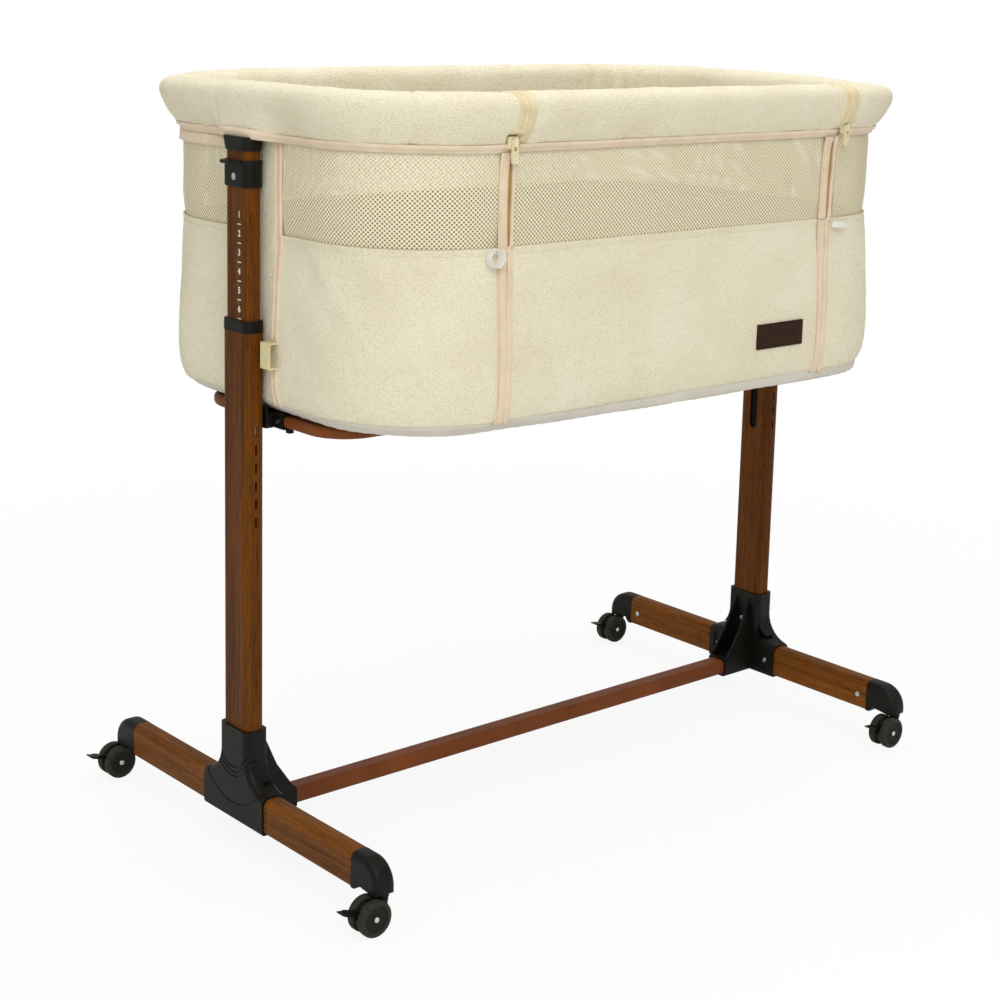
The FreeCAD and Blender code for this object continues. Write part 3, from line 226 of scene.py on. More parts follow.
def looped_boucle(name, pale, deep, loop=0.0021):
    """Boucle cloth: small yarn loops on a knitted ground, with a soft nap.

    The loops are drawn about 2 mm across, coarser than the yarn's, so that they show."""
    material, shader = new_material(name, 0.95, specular=0.2, sheen=0.12)
    wander = (0.0016, 0.0016, 0.0016)
    place = add(material, "TexCoord").outputs["Object"]
    drift = add(material, "TexNoise", {"Scale": 0.7 / loop, "Detail": 2.0}, Vector=place).outputs["Color"]
    bent = add(material, "VectorMath", {"operation": "MULTIPLY_ADD", 1: wander}, _0=drift, _2=place)
    bent = bent.outputs[0]
    loops = add(material, "TexVoronoi", {"Scale": 1 / loop, "Randomness": 0.9}, Vector=bent).outputs[0]
    fuzz = add(material, "TexNoise", {"Scale": 2.0 / loop, "Detail": 4.0, "Roughness": 0.7}, Vector=place)
    cloud = add(material, "TexNoise", {"Scale": 14.0, "Detail": 3.0}, Vector=place).outputs[0]
    height = add(material, "Math", {"operation": "SUBTRACT"}, _0=fuzz.outputs[0], _1=loops).outputs[0]
    # The yarn's tone is darker where the loops are low: painted shade in the hollows between the loops.
    shade = add(material, "MapRange", {1: -0.35, 2: 0.25, 3: 0.0, 4: 1.0}, Value=height).outputs[0]
    yarn = add(material, "ValToRGB", {"stops": ((0.0, deep), (0.7, pale))}, Fac=shade).outputs[0]
    tint = add(material, "ValToRGB", {"stops": ((0.3, "#F7F5F0"), (0.7, "#FFFFFF"))}, Fac=cloud).outputs[0]
    tone = add(material, "Mix", {"data_type": "RGBA", "blend_type": "MULTIPLY", 0: 1.0}, _6=yarn, _7=tint)
    curls = add(material, "Bump", {"Strength": 0.85, "Distance": 0.0013}, Height=height).outputs[0]
    plug(material, shader, Base_Color=tone.outputs[2], Normal=curls)
    return material


def woven_tape(name, pale, deep, thread=0.0008):
    """Woven polyester tape: fine uneven threads, a little sheen."""
    material, shader = new_material(name, 0.75, sheen=0.2)
    place = add(material, "TexCoord").outputs["Object"]
    weave = add(material, "TexNoise", {"Scale": 1 / thread, "Detail": 2.0}, Vector=place).outputs[0]
    tone = mottled(material, place, 45.0, 3.0, deep, pale)[1]
    ribs = add(material, "Bump", {"Strength": 0.35, "Distance": 0.0003}, Height=weave).outputs[0]
    plug(material, shader, Base_Color=tone, Normal=ribs)
    return material


def knitted_net(name, pale, deep, pitch=(0.0052, 0.0049), hole=0.30):
    """Breathable warp-knit net in a matt yarn: staggered lozenge holes, repeating every 5.2 by 4.9 mm."""
    material, shader = new_material(name, 0.8)
    place = add(material, "UVMap", {"uv_map": "cloth"}).outputs[0]
    parts = add(material, "SeparateXYZ", None, Vector=place)
    waves = []
    for axis in (0, 1):
        turns = {"operation": "MULTIPLY", 1: 2 * math.pi / pitch[axis]}
        turn = add(material, "Math", turns, _0=parts.outputs[axis]).outputs[0]
        waves.append(add(material, "Math", {"operation": "COSINE"}, _0=turn).outputs[0])
    both = add(material, "Math", {"operation": "MULTIPLY"}, _0=waves[0], _1=waves[1]).outputs[0]
    yarn = add(material, "MapRange", {1: hole - 0.08, 2: hole + 0.08, 3: 1.0, 4: 0.0}, Value=both).outputs[0]
    # The yarn darkens towards each hole's edge: painted shade round the holes.
    depth = add(material, "MapRange", {1: -1.0, 2: hole, 3: 0.0, 4: 1.0}, Value=both).outputs[0]
    tone = add(material, "ValToRGB", {"stops": ((0.0, pale), (1.0, deep))}, Fac=depth).outputs[0]
    proud = add(material, "Math", {"operation": "MULTIPLY", 1: -1.0}, _0=both).outputs[0]
    rounded = add(material, "Bump", {"Strength": 0.4, "Distance": 0.0006}, Height=proud).outputs[0]
    plug(material, shader, Base_Color=tone, Alpha=yarn, Normal=rounded)
    return material


def plain_cloth(name, pale, deep, thread=0.0011):
    """Plain woven cotton blend: fine crossed threads and faint creases."""
    material, shader = new_material(name, 0.88, sheen=0.15)
    place = add(material, "TexCoord").outputs["Object"]
    threads = add(material, "TexNoise", {"Scale": 1 / thread, "Detail": 1.0}, Vector=place).outputs[0]
    crease = add(material, "TexNoise", {"Scale": 16.0, "Detail": 4.0, "Distortion": 0.6}, Vector=place)
    crease = crease.outputs[0]
    # The tone follows the creases, a little darker in their hollows: painted shade.
    tone = add(material, "ValToRGB", {"stops": ((0.3, deep), (0.7, pale))}, Fac=crease).outputs[0]
    both = add(material, "Math", {"operation": "MULTIPLY_ADD", 1: 0.25}, _0=threads, _2=crease).outputs[0]
    creased = add(material, "Bump", {"Strength": 0.35, "Distance": 0.003}, Height=both).outputs[0]
    plug(material, shader, Base_Color=tone, Normal=creased)
    return material


def smooth_plastic(name, pale, deep, roughness=0.35):
    """Injection-moulded acetal or smooth enamel: an even, softly shining surface."""
    material, shader = new_material(name, roughness)
    place = add(material, "TexCoord").outputs["Object"]
    cloud, tone = mottled(material, place, 90.0, 3.0, deep, pale)
    waves = add(material, "Bump", {"Strength": 0.06, "Distance": 0.0005}, Height=cloud).outputs[0]
    plug(material, shader, Base_Color=tone, Normal=waves)
    return material


def pressed_leather():
    """Dark brown leatherette: pebbled grain of about a millimetre, cloudy tone."""
    material, shader = new_material("dark_leatherette", 0.6, specular=0.15)
    place = add(material, "TexCoord").outputs["Object"]
    pebble = add(material, "TexVoronoi", {"Scale": 900.0}, Vector=place).outputs[0]
    tone = mottled(material, place, 120.0, 4.0, "#261306", "#351E0E")[1]
    grain = add(material, "Bump", {"Strength": 0.4, "Distance": 0.0004}, Height=pebble).outputs[0]
    plug(material, shader, Base_Color=tone, Normal=grain)
    return material


def fibreboard():
    """Pressed fibreboard: matt brown with 2 mm fibres."""
    material, shader = new_material("fibreboard", 0.8)
    place = add(material, "TexCoord").outputs["Object"]
    plug(material, shader, Base_Color=mottled(material, place, 500.0, 3.0, "#8A6C4A", "#A88762")[1])
    return material


WALNUT_TONES = ("#3E1E02", "#5C3206", "#6C3C08", "#80490C")
FOOT_TONES = ("#4A2706", "#6C3E0E", "#7E4A12", "#925A1A")
# Inner posts are coloured near-black below this height, inside the outer posts, where their slots show them.
BLACK_BELOW_HEIGHT = span("post_collar_left", 2)[0] + 0.001
WALNUT_UP = walnut_print("walnut_print_upright", "Z", WALNUT_TONES)
WALNUT_INNER = walnut_print("walnut_print_inner_post", "Z", WALNUT_TONES, BLACK_BELOW_HEIGHT)
WALNUT_ACROSS = walnut_print("walnut_print_foot_bar", "Y", FOOT_TONES)
BROWN = brown_paint()
BLACK = black_moulding()
ZINC = zinc_plate()
BOUCLE = looped_boucle("cream_boucle", "#F5EDD3", "#E9E0C1")
NET = knitted_net("cream_warp_knit_net", "#F2E9D0", "#D8CDA8")
PEACH = woven_tape("peach_binding_tape", "#E4D1B6", "#D9C4A6")
IVORY_TAPE = woven_tape("ivory_zip_tape", "#E2D4AE", "#D2C196")
# The white cloth is coloured grey as painted shade under the boucle's belly; the frame straps share this
# tone.
WHITE_PAINTED_SHADE = plain_cloth("white_bottom_cloth", "#D2CDBF", "#C6C1B2")
COTTON = plain_cloth("cream_mattress_cotton", "#EEE9DA", "#E4DDC8")
ACETAL = smooth_plastic("cream_acetal_buckle", "#D8CDA0", "#CDC192")
ENAMEL = smooth_plastic("ivory_enamel_zip", "#E6DBB6", "#D8CBA0", 0.3)
RIBBON = woven_tape("white_ribbon", "#E8E7E0", "#DAD9D2")
LEATHER = pressed_leather()
BOARD = fibreboard()
# The lining's dark greige is painted shade: the basket's inside lies in shadow under the rim and shows
# through the net.
LINING_PAINTED_SHADE = plain_cloth("cotton_lining_painted_shade", "#8E8668", "#7F775B")
# The tan of the zip's backing is painted shade: it stands for the peach tape's inside, in the shadow of the
# slit.
SLIT_TAN_PAINTED_SHADE = woven_tape("zip_slit_painted_shade", "#B88C50", "#A27840")
CREAM_THREAD = woven_tape("cream_sewing_thread", "#E9E2CC", "#DDD4B8", 0.0004)
PEACH_THREAD = woven_tape("peach_sewing_thread", "#D9BC9A", "#C9A985", 0.0004)
INK = plain_cloth("white_printed_ink", "#E9E6DC", "#DAD6CA")


# ---------------------------------------------------------------- room, light and camera
def place_camera():
    """Viewpoint of the photograph: left of the left post, in front, a little above the rim."""
    yaw, pitch, roll = 0.7113, 0.18597, 0.02378
    place = (-1.57406, -1.78163, 0.98157)
    look = Vector((math.sin(yaw) * math.cos(pitch), math.cos(yaw) * math.cos(pitch), -math.sin(pitch)))
    right = Vector((math.cos(yaw), -math.sin(yaw), 0))
    up = right.cross(look)
    across = math.cos(roll) * right + math.sin(roll) * up
    tall = -math.sin(roll) * right + math.cos(roll) * up
    turn = Matrix((across, tall, -look)).transposed().to_4x4()
    data = bpy.data.cameras.new("photo_camera")
    data.lens = 70.541
    data.sensor_width = 36
    data.sensor_fit = "HORIZONTAL"
    data.shift_y = -0.15
    camera = bpy.data.objects.new("photo_camera", data)
    camera.matrix_world = Matrix.Translation(place) @ turn
    bpy.context.scene.collection.objects.link(camera)
    bpy.context.scene.camera = camera


def lamp(name, place, aim, size, watts):
    data = bpy.data.lights.new(name, "AREA")
    data.shape = "DISK"
    data.size = size
    data.energy = watts
    thing = bpy.data.objects.new(name, data)
    thing.location = place
    thing.rotation_euler = (Vector(aim) - Vector(place)).to_track_quat("-Z", "Y").to_euler()
    bpy.context.scene.collection.objects.link(thing)


def seen_directly(owner):
    """1 for the camera's own rays and those that pass a hole of the net, 0 for light that bounces."""
    path = add(owner, "LightPath")
    return add(owner, "Math", {"operation": "MAXIMUM"}, _0=path.outputs["Is Camera Ray"],
               _1=path.outputs["Is Transmission Ray"]).outputs[0]


def white_floor():
    """White sweep: it takes the shadow near the crib and fades to plain white away from it."""
    bpy.ops.object.select_all(action="DESELECT")
    bpy.ops.mesh.primitive_plane_add(size=14, location=(0, 0, 0))
    floor = bpy.context.object
    floor.name = "studio_floor"
    material, shader = new_material("white_sweep", 0.9, "#F2F2F0")
    seen = seen_directly(material)
    place = add(material, "TexCoord").outputs["Object"]
    away = add(material, "VectorMath", {"operation": "LENGTH"}, _0=place).outputs["Value"]
    fade = add(material, "MapRange", {1: 0.7, 2: 1.9, 3: 0.88, 4: 1.0}, Value=away).outputs[0]
    share = add(material, "Math", {"operation": "MULTIPLY"}, _0=seen, _1=fade).outputs[0]
    glow = add(material, "Emission", {"Color": (1, 1, 1, 1), "Strength": 1.0}).outputs[0]
    blend = add(material, "MixShader", None, _0=share, _1=shader.outputs[0], _2=glow).outputs[0]
    plug(material, material.node_tree.nodes["Material Output"], Surface=blend)
    floor.data.materials.append(material)


def white_world():
    """White background, with softer light from it on the crib."""
    world = bpy.data.worlds.new("studio")
    bpy.context.scene.world = world
    world.use_nodes = True
    soft = world.node_tree.nodes["Background"]
    soft.inputs["Color"].default_value = (1, 1, 1, 1)
    soft.inputs["Strength"].default_value = 0.62
    white = add(world, "Background", {"Color": (1, 1, 1, 1), "Strength": 1.0}).outputs[0]
    seen = seen_directly(world)
    blend = add(world, "MixShader", None, _0=seen, _1=soft.outputs[0], _2=white).outputs[0]
    plug(world, world.node_tree.nodes["World Output"], Surface=blend)


place_camera()
white_floor()
white_world()
lamp("key_softbox", (-1.40, -1.95, 2.10), (-0.1, 0, 0.55), 1.6, 29)
lamp("top_softbox", (0.3, 0.2, 3.0), (0, 0, 0.6), 2.4, 34)
bpy.context.scene.view_settings.view_transform = "Standard"


# ---------------------------------------------------------------- cloth tools
# Legs of the basket's plan, leftwards from the front middle: the length, then
# a straight's start and direction, or an arc's centre and the angle in degrees that it starts from.
LEGS = (
    (STRAIGHT, (0, -HALF_DEEP), (-1, 0)),
    (ARC, (-STRAIGHT, -END_STRAIGHT), -90),
    (2 * END_STRAIGHT, (-HALF_LONG, -END_STRAIGHT), (0, 1)),
    (ARC, (-STRAIGHT, END_STRAIGHT), 180),
    (2 * STRAIGHT, (-STRAIGHT, HALF_DEEP), (1, 0)),
    (ARC, (STRAIGHT, END_STRAIGHT), 90),
    (2 * END_STRAIGHT, (HALF_LONG, END_STRAIGHT), (0, -1)),
    (ARC, (STRAIGHT, -END_STRAIGHT), 0),
    (STRAIGHT, (STRAIGHT, -HALF_DEEP), (-1, 0)))


def outline(u):
    """Point and outward direction on the basket's plan at u."""
    u %= ROUND
    for length, (x, y), course in LEGS:
        if u <= length:
            break
        u -= length
    if isinstance(course, tuple):
        return Vector((x + MIDDLE + u * course[0], y + u * course[1], 0)), Vector((-course[1], course[0], 0))
    turn = math.radians(course) - u / CORNER
    way = Vector((math.cos(turn), math.sin(turn), 0))
    return Vector((x + MIDDLE, y, 0)) + CORNER * way, way


def wall(u, out, z):
    spot, way = outline(u)
    place = spot + way * out
    place.z = z
    return place


def steps(start, stop, pitch):
    count = max(1, round(abs(stop - start) / pitch))
    return [start + (stop - start) * i / count for i in range(count + 1)]


def ripple(place, size, seed=0.0):
    """Smooth irregular value from -1 to 1 that changes over the given size."""
    return noise.noise(place / size + Vector((seed, 2.3 * seed, 4.1 * seed)))


def near(u, middle, width):
    """1 at a place round the basket, falling off gently both ways."""
    gap = (u - middle + ROUND / 2) % ROUND - ROUND / 2
    return math.exp(-(gap / width) ** 2)


def plateau(u, middles, width):
    """1 round each of some places, falling off sharply at the given distance."""
    return max(math.exp(-((u - middle) / width) ** 4) for middle in middles)


def clamped(t):
    return min(1.0, max(0.0, t))


def eased(t):
    """Smooth start and end for a share from 0 to 1."""
    return t * t * (3 - 2 * t)


def linked(name, mesh):
    thing = bpy.data.objects.new(name, mesh)
    bpy.context.scene.collection.objects.link(thing)
    return thing


def finish_piece(thing, material, body, replaced):
    for face in thing.data.polygons:
        face.use_smooth = True
    thing.data.materials.clear()
    thing.data.materials.append(material)
    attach(thing, body)
    if replaced:
        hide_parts(*replaced)
    return thing


def cloth_grid(name, rows, closed_round, closed_section, uvs, caps=False):
    """Mesh from rows of points, one row for each station along the cloth, with a UV map in metres."""
    high = len(rows[0])
    faces, marks = [], []
    for i in range(len(rows) if closed_round else len(rows) - 1):
        here, there = i * high, (i + 1) % len(rows) * high
        ua, ub = uvs[0][i:i + 2]
        for j in range(high if closed_section else high - 1):
            k = (j + 1) % high
            vj, vk = uvs[1][j:j + 2]
            faces.append((here + j, here + k, there + k, there + j))
            marks += [(ua, vj), (ua, vk), (ub, vk), (ub, vj)]
    if caps:
        last = (len(rows) - 1) * high
        faces += [tuple(range(high)), tuple(last + j for j in reversed(range(high)))]
        marks += [(0, 0)] * (2 * high)
    mesh = bpy.data.meshes.new(name)
    mesh.from_pydata([p for row in rows for p in row], [], faces)
    layer = mesh.uv_layers.new(name="cloth")
    for loop, mark in zip(layer.data, marks):
        loop.uv = mark
    return linked(name, mesh)


def outward(thing, open_bowl=False):
    """Merge doubles and point the faces outwards; an open bowl's point down."""
    shape = bmesh.new()
    shape.from_mesh(thing.data)
    bmesh.ops.remove_doubles(shape, verts=shape.verts, dist=0.00001)
    bmesh.ops.recalc_face_normals(shape, faces=shape.faces)
    if open_bowl and sum(f.normal.z * f.calc_area() for f in shape.faces) > 0:
        bmesh.ops.reverse_faces(shape, faces=shape.faces)
    shape.to_mesh(thing.data)
    shape.free()


def thicken(thing, kind, thickness):
    """Solidify a single cloth inwards."""
    thing.modifiers.new(kind + "_thickness", "SOLIDIFY").thickness = thickness


def section_strip(name, us, section, material, body, replaced):
    """Closed thin strip round the basket: section(u) gives its loop of (out, z)."""
    rows = [[wall(u, out, z) for out, z in section(u)] for u in us]
    first = section(us[0])
    lengths = [0.0]
    for (a, b), (c, d) in zip(first, first[1:] + first[:1]):
        lengths.append(lengths[-1] + math.hypot(c - a, d - b))
    around = us[-1] - us[0] > ROUND - 0.01
    if around:
        rows = rows[:-1]
    thing = cloth_grid(name, rows, around, True, (us, lengths), caps=not around)
    outward(thing)
    return finish_piece(thing, material, body, replaced)


# ---------------------------------------------------------------- lower cloth of the basket
POSTS = (LEFT_END, RIGHT_END)
BACK_LEFT_BEND = BACK_LEFT + 0.45 * ARC
FRONT_RIGHT_BEND = ROUND - STRAIGHT - 0.55 * ARC
INSIDE = -0.0026  # inner face of the boucle panel, outwards from the wall line


def drag_folds(u, z, t):
    """Folds that run down the front corners: sharp and deep on the left, soft on the right."""
    below = MESH_LINE - z
    sharp = 0.55 - math.sqrt(math.sin(math.pi * (14 * u + 12 * below)) ** 2 + 0.02)
    soft = math.sin(2 * math.pi * (16 * u - 8 * below))
    left = 0.0078 * sharp * near(u, 0.44, 0.066) * t * t
    right = 0.0015 * soft * near(u, ROUND - 0.40, 0.06) * t
    return (left + right) * (1 - t ** 7)


def belly(u, z):
    """How far the boucle panel stands out: fullest low down, drawn in at the hem, the seam and the posts."""
    t = clamped((z - HEM) / (MESH_LINE - HEM))
    fullest = 0.0064 - 0.0012 * near(u, BACK_LEFT_BEND, 0.15) + 0.0034 * near(u, FRONT_RIGHT_BEND, 0.11)
    drawn_in = 0.0016 * t ** 3 + 0.0022 * max(0.0, 1 - t * 9) ** 2
    full = fullest * math.sin(math.pi * t ** 0.62) * (1.0 - 0.55 * t) - drawn_in
    posts = max(near(u, post, 0.034) for post in POSTS)
    zips = max(near(u, ZIP, 0.02), near(u, -ZIP, 0.02))
    place = wall(u, 0, z)
    soft = 0.0014 * ripple(place, 0.09, 1) + 0.0007 * ripple(place, 0.04, 5)
    nap = 0.00040 * ripple(place, 0.0045, 9)
    return full * (1 - 0.95 * posts) * (1 - 0.5 * zips) + (soft + drag_folds(u, z, t)) * (1 - posts) + nap


def side_cloth():
    """Foam-backed boucle panel; the top edge is turned over where the net is sewn in."""
    rise = steps(HEM, MESH_LINE - 0.003, 0.0040)

    def section(u):
        top = belly(u, MESH_LINE)
        turned = ((top + 0.0016, -0.0012), (top + 0.0012, 0.0006), (top - 0.0004, 0.0009), (-0.0020, -0.0002),
                  (INSIDE, -0.003))
        loop = [(belly(u, z) + 0.0006, z) for z in rise]
        return loop + [(out, MESH_LINE + up) for out, up in turned] + [(INSIDE, HEM + 0.001)]

    thing = section_strip("boucle_side_cloth", steps(0, ROUND, 0.0040), section, BOUCLE, "cradle",
                          ("side_panel",))


def cotton_lining():
    """Lining inside the boucle panel; its dark greige is painted shade of the basket's shadowed inside, seen
    through the net's holes.
    """
    heights = (MESH_LINE - 0.0016, 0.66, 0.61, 0.565, 0.535, HEM + 0.002)
    loop = [(-0.0031, z) for z in heights] + [(-0.0046, z) for z in reversed(heights)]
    lining = section_strip("cotton_lining", steps(0, ROUND, 0.008), lambda u: loop, LINING_PAINTED_SHADE, "cradle",
                           ())


def skirt_share(u):
    """0 at the left end, where the white cloth turns in under the hem, to 1 where it hangs as a skirt."""
    return eased(clamped((outline(u)[0].x - MIDDLE + 0.36) / 0.34))


def bottom_cloth():
    """White bottom: a skirt that curves in under the hem, drawn in by its elastic, and a flat floor."""
    us = steps(0, ROUND, 0.006)
    under = span("bottom_cover", 2)[0]
    flat = under + 0.0002
    tucked = ((-0.0010, HEM + 0.004), (-0.0012, HEM - 0.0008), (-0.0060, HEM - 0.0036),
              (-0.0120, HEM - 0.0090), (-0.0190, under + 0.0020), (-0.0300, under + 0.0004), (-0.0450, flat))
    hanging = ((-0.0010, HEM + 0.004), (-0.0010, HEM - 0.0012), (-0.0018, HEM - 0.0060),
               (-0.0036, HEM - 0.0108), (-0.0088, HEM - 0.0124), (-0.0240, under + 0.0003), (-0.0400, flat))
    rows = []
    for u in us[:-1]:
        pleat = 0.0009 * math.sin(u * 2 * math.pi / 0.019 + 2.2 * math.sin(u * 9))
        flank = [Vector(a).lerp(Vector(b), skirt_share(u)) for a, b in zip(tucked, hanging)]
        row = [wall(u, out + pleat * min(1.0, i / 3), z + 0.0004 * math.sin(u * 41 + i))
               for i, (out, z) in enumerate(flank)]
        row += [wall(u, out, flat) for out in (-0.065, -0.095, -0.125)]
        edge = row[-1]
        for share in (0.7, 0.4, 0.12):
            row.append(Vector((MIDDLE + (edge.x - MIDDLE) * (0.2 + 0.8 * share), edge.y * share, flat)))
        rows.append(row + [Vector((MIDDLE, 0, flat))])
    lengths = [0.006 * i for i in range(len(rows[0]))]
    thing = cloth_grid("white_bottom_cloth", rows, True, False, (us, lengths))
    outward(thing, open_bowl=True)
    finish_piece(thing, WHITE_PAINTED_SHADE, "cradle", ("bottom_cover",))
    thicken(thing, "cloth", 0.0008)


# ---------------------------------------------------------------- net
def net_sheet(name, us, low, recess, body, replaced):
    """Stretched net from the boucle's top edge to the rim; recess draws its foot in behind the seam."""
    high = RIM_LOW + 0.003
    rise = steps(low, high, 0.006)

    def out(u, z):
        place = wall(u, 0, z)
        slack = 0.0016 * ripple(place, 0.10, 3) + 0.0007 * ripple(place, 0.035, 7)
        slack *= math.sin(math.pi * (z - low) / (high - low))
        foot = max(0.0, 1 - (z - low) / 0.030) * recess
        return slack - 0.0006 + min(0.0, belly(u, MESH_LINE) - 0.0012) * foot

    rows = [[wall(u, out(u, z), z) for z in rise] for u in us]
    thing = cloth_grid(name, rows, False, False, (us, rise))
    finish_piece(thing, NET, body, replaced)
    thicken(thing, "yarn", 0.0008)


def nets():
    net_sheet("net_round_ends_and_back", steps(ZIP + 0.004, ROUND - ZIP - 0.004, 0.006), MESH_LINE - 0.004,
              1.0, "cradle", ("mesh_panels",))
    net_sheet("net_drop_side", steps(-ZIP + 0.004, ZIP - 0.004, 0.006), MESH_LINE - 0.0035,
              0.45, "drop_side", ("drop_mesh",))


# ---------------------------------------------------------------- padded rim
# The seams across the rim's cloth and the resting places of the sliders, as u.
SEAMS = (0.372, 0.640, 1.02, 1.372, ROUND - 0.372)
SLIDERS = (0.2636, ROUND - 0.2636)
RIM_POINTS = 240
RIM_CORE = Vector((0.002, RIM_LOW + 0.031))


def from_rim(*points):
    """Section points in mm, outwards from the wall and up from the rim's underside, as (out, z) in metres."""
    return [(out / 1000, RIM_LOW + up / 1000) for out, up in points]


def smooth_ring(points, count):
    """Evenly spaced points on a smooth closed line through the given ones."""
    fine, total = [], len(points)
    for i in range(total):
        a, b, c, d = [Vector(points[(i + k) % total]) for k in (-1, 0, 1, 2)]
        for t in [step / 16 for step in range(16)]:
            square = (2 * a - 5 * b + 4 * c - d) * t * t
            cube = (3 * b - a - 3 * c + d) * t ** 3
            fine.append(0.5 * (2 * b + (c - a) * t + square + cube))
    lengths = [0.0]
    for a, b in zip(fine, fine[1:] + fine[:1]):
        lengths.append(lengths[-1] + (b - a).length)
    ring, j = [], 0
    for i in range(count):
        want = lengths[-1] * i / count
        while lengths[j + 1] < want:
            j += 1
        share = (want - lengths[j]) / (lengths[j + 1] - lengths[j])
        ring.append(fine[j].lerp(fine[(j + 1) % len(fine)], share))
    return ring


RIM_LINE = smooth_ring(from_rim(
    (1.5, 0.0), (6.5, 4.5), (13.0, 12.5), (19.0, 22.0), (23.9, 33.0), (25.8, 42.0), (25.0, 48.5),
    (21.2, 54.2), (14.0, 57.5), (3.0, 58.6), (-8.0, 58.0), (-15.0, 54.6), (-19.5, 48.0), (-21.0, 38.0),
    (-20.8, 26.0), (-18.5, 12.0), (-14.0, 4.0), (-8.0, 0.0), (-3.0, -0.4)), RIM_POINTS)
HALF_WAY = STRAIGHT + ARC * 0.5
RIM_CORNERS = (HALF_WAY, ROUND - HALF_WAY, ROUND / 2 - HALF_WAY, ROUND / 2 + HALF_WAY)


def rim_swell(u, place, inner):
    """Unevenness of the boucle on the foam, its seams, and the creases inside the corners."""
    seam = max(near(u, s, 0.0022) for s in SEAMS)
    corner = max(near(u, c, 0.09) for c in RIM_CORNERS)
    swell = 0.0010 * ripple(place, 0.055, 2) + 0.0007 * ripple(place, 0.021, 4)
    swell += 0.0005 * ripple(place, 0.0045, 6)
    crease = math.sin(u * 2 * math.pi / 0.027 + 3 * ripple(place, 0.05, 8))
    return swell - 0.0014 * seam + 0.0017 * corner * inner * crease


def over_post_cap(flat, rise, post):
    """The rim's lower outside, brought out over the cap of the inner post that stands under it."""
    foot = 0.12
    side = max(0.0, rise - foot) / 0.6
    rest_out = 0.0015 + 0.0212 * min(1.0, rise / foot) + 0.0031 * side
    return flat.lerp(Vector((rest_out, RIM_LOW + 0.0004 + 0.0414 * side)), post)


def rim_loop(u, shrink=1.0, every=4):
    """Section of the rim at u: tapered under, plump above, lower at two corners, dented by the sliders."""
    sag = 0.0060 * near(u, ROUND - STRAIGHT - ARC * 0.6, 0.12) + 0.0045 * near(u, BACK_LEFT + ARC * 0.4, 0.12)
    slider = plateau(u, SLIDERS, 0.0088)
    post = plateau(u, POSTS, 0.049)
    loop = []
    for i in range(0, RIM_POINTS, every):
        flat = RIM_LINE[i]
        run = RIM_LINE[(i + 1) % RIM_POINTS] - RIM_LINE[i - 1]
        face = Vector((run.y, -run.x)).normalized()
        rise = (flat.y - RIM_LOW) / (RIM_HIGH - RIM_LOW)
        swell = rim_swell(u, wall(u, flat.x, flat.y), max(0.0, -face.x))
        if flat.x > 0 and 0 <= rise < 0.72 and post > 0.01:
            flat = over_post_cap(flat, rise, post)
        at = RIM_CORE + (flat - RIM_CORE) * shrink + face * swell
        if at.x > 0.004 and slider > 0.01:
            low = clamped((RIM_LOW + 0.0185 - at.y) / 0.0050)
            at.x -= max(0.0, at.x - 0.0040) * slider * eased(low)
        loop.append(wall(u, at.x, at.y - sag * max(0.0, rise)))
    return loop


def rim_pad(name, start, stop, body, replaced):
    """Foam rim in boucle; both ends are drawn in where the zip is sewn on."""
    us = steps(start, stop, 0.0042)
    ends = ((0.0, 0.50), (0.0004, 0.78), (0.0012, 0.90), (0.0030, 0.945), (0.0060, 0.965), (0.0105, 0.985))
    stations = [(start + along, shrink) for along, shrink in ends]
    stations += [(u, 1.0) for u in us[4:-4]]
    stations += [(stop - along, shrink) for along, shrink in reversed(ends)]
    rows = [rim_loop(u, shrink) for u, shrink in stations]
    lengths = [0.0031 * i for i in range(len(rows[0]) + 1)]
    thing = cloth_grid(name, rows, False, True, ([u for u, shrink in stations], lengths), caps=True)
    outward(thing)
    finish_piece(thing, BOUCLE, body, replaced)


def rim():
    fixed_end, drop_end = ZIP + 0.0012, ZIP - 0.0012
    rim_pad("boucle_rim", fixed_end, ROUND - fixed_end, "cradle", ("rim_pad", "top_rail"))
    rim_pad("boucle_rim_drop_side", -drop_end, drop_end, "drop_side", ("drop_pad", "drop_rail"))


# ---------------------------------------------------------------- tapes, bindings and zips
def ribbed_band(line, cords=(), wave=0.0005, seed=0.0, over_cap=None):
    """Section of a soft tape along a line of (out, z), low end first, with piping cords on it.

    over_cap is its line where it passes over a post's cap."""
    thick, cord = 0.0012, 0.0011

    def section(u):
        post = plateau(u, POSTS, 0.050)
        points = [Vector(p).lerp(Vector(q), post) for p, q in zip(line, over_cap or line)]
        spot = outline(u)[0]
        shift = wave * ripple(Vector((spot.x, spot.y, seed)), 0.035, seed)
        lift = wave * ripple(Vector((spot.x, spot.y, seed + 1)), 0.06, seed + 2)
        last = len(points) - 1
        front = []
        for i, p in enumerate(points):
            run = points[min(i + 1, last)] - points[max(i - 1, 0)]
            face = Vector((run.y, -run.x)).normalized()
            proud = thick * (0.3 if i in (0, last) else 1.0) + (cord if i in cords else 0.0)
            front.append((p.x + face.x * proud + shift, p.y + face.y * proud + lift))
        return front + [(p.x + shift, p.y + lift) for p in reversed(points)]
    return section


BINDING_LINE = from_rim((0.8, -3.8), (1.4, -2.8), (2.4, -1.6), (3.8, 0.2), (5.4, 2.2), (6.8, 3.8), (7.8, 5.0))
OVER_CAP_LINE = from_rim((21.5, 0.4), (23.2, 0.6), (24.2, 2.0), (24.6, 3.8), (24.8, 6.0), (25.0, 8.0),
                         (25.0, 9.6))
HEM_LINE = from_rim((0.6, -17.5), (1.4, -16.0), (2.0, -13.0), (1.8, -8.0), (1.2, -4.0))


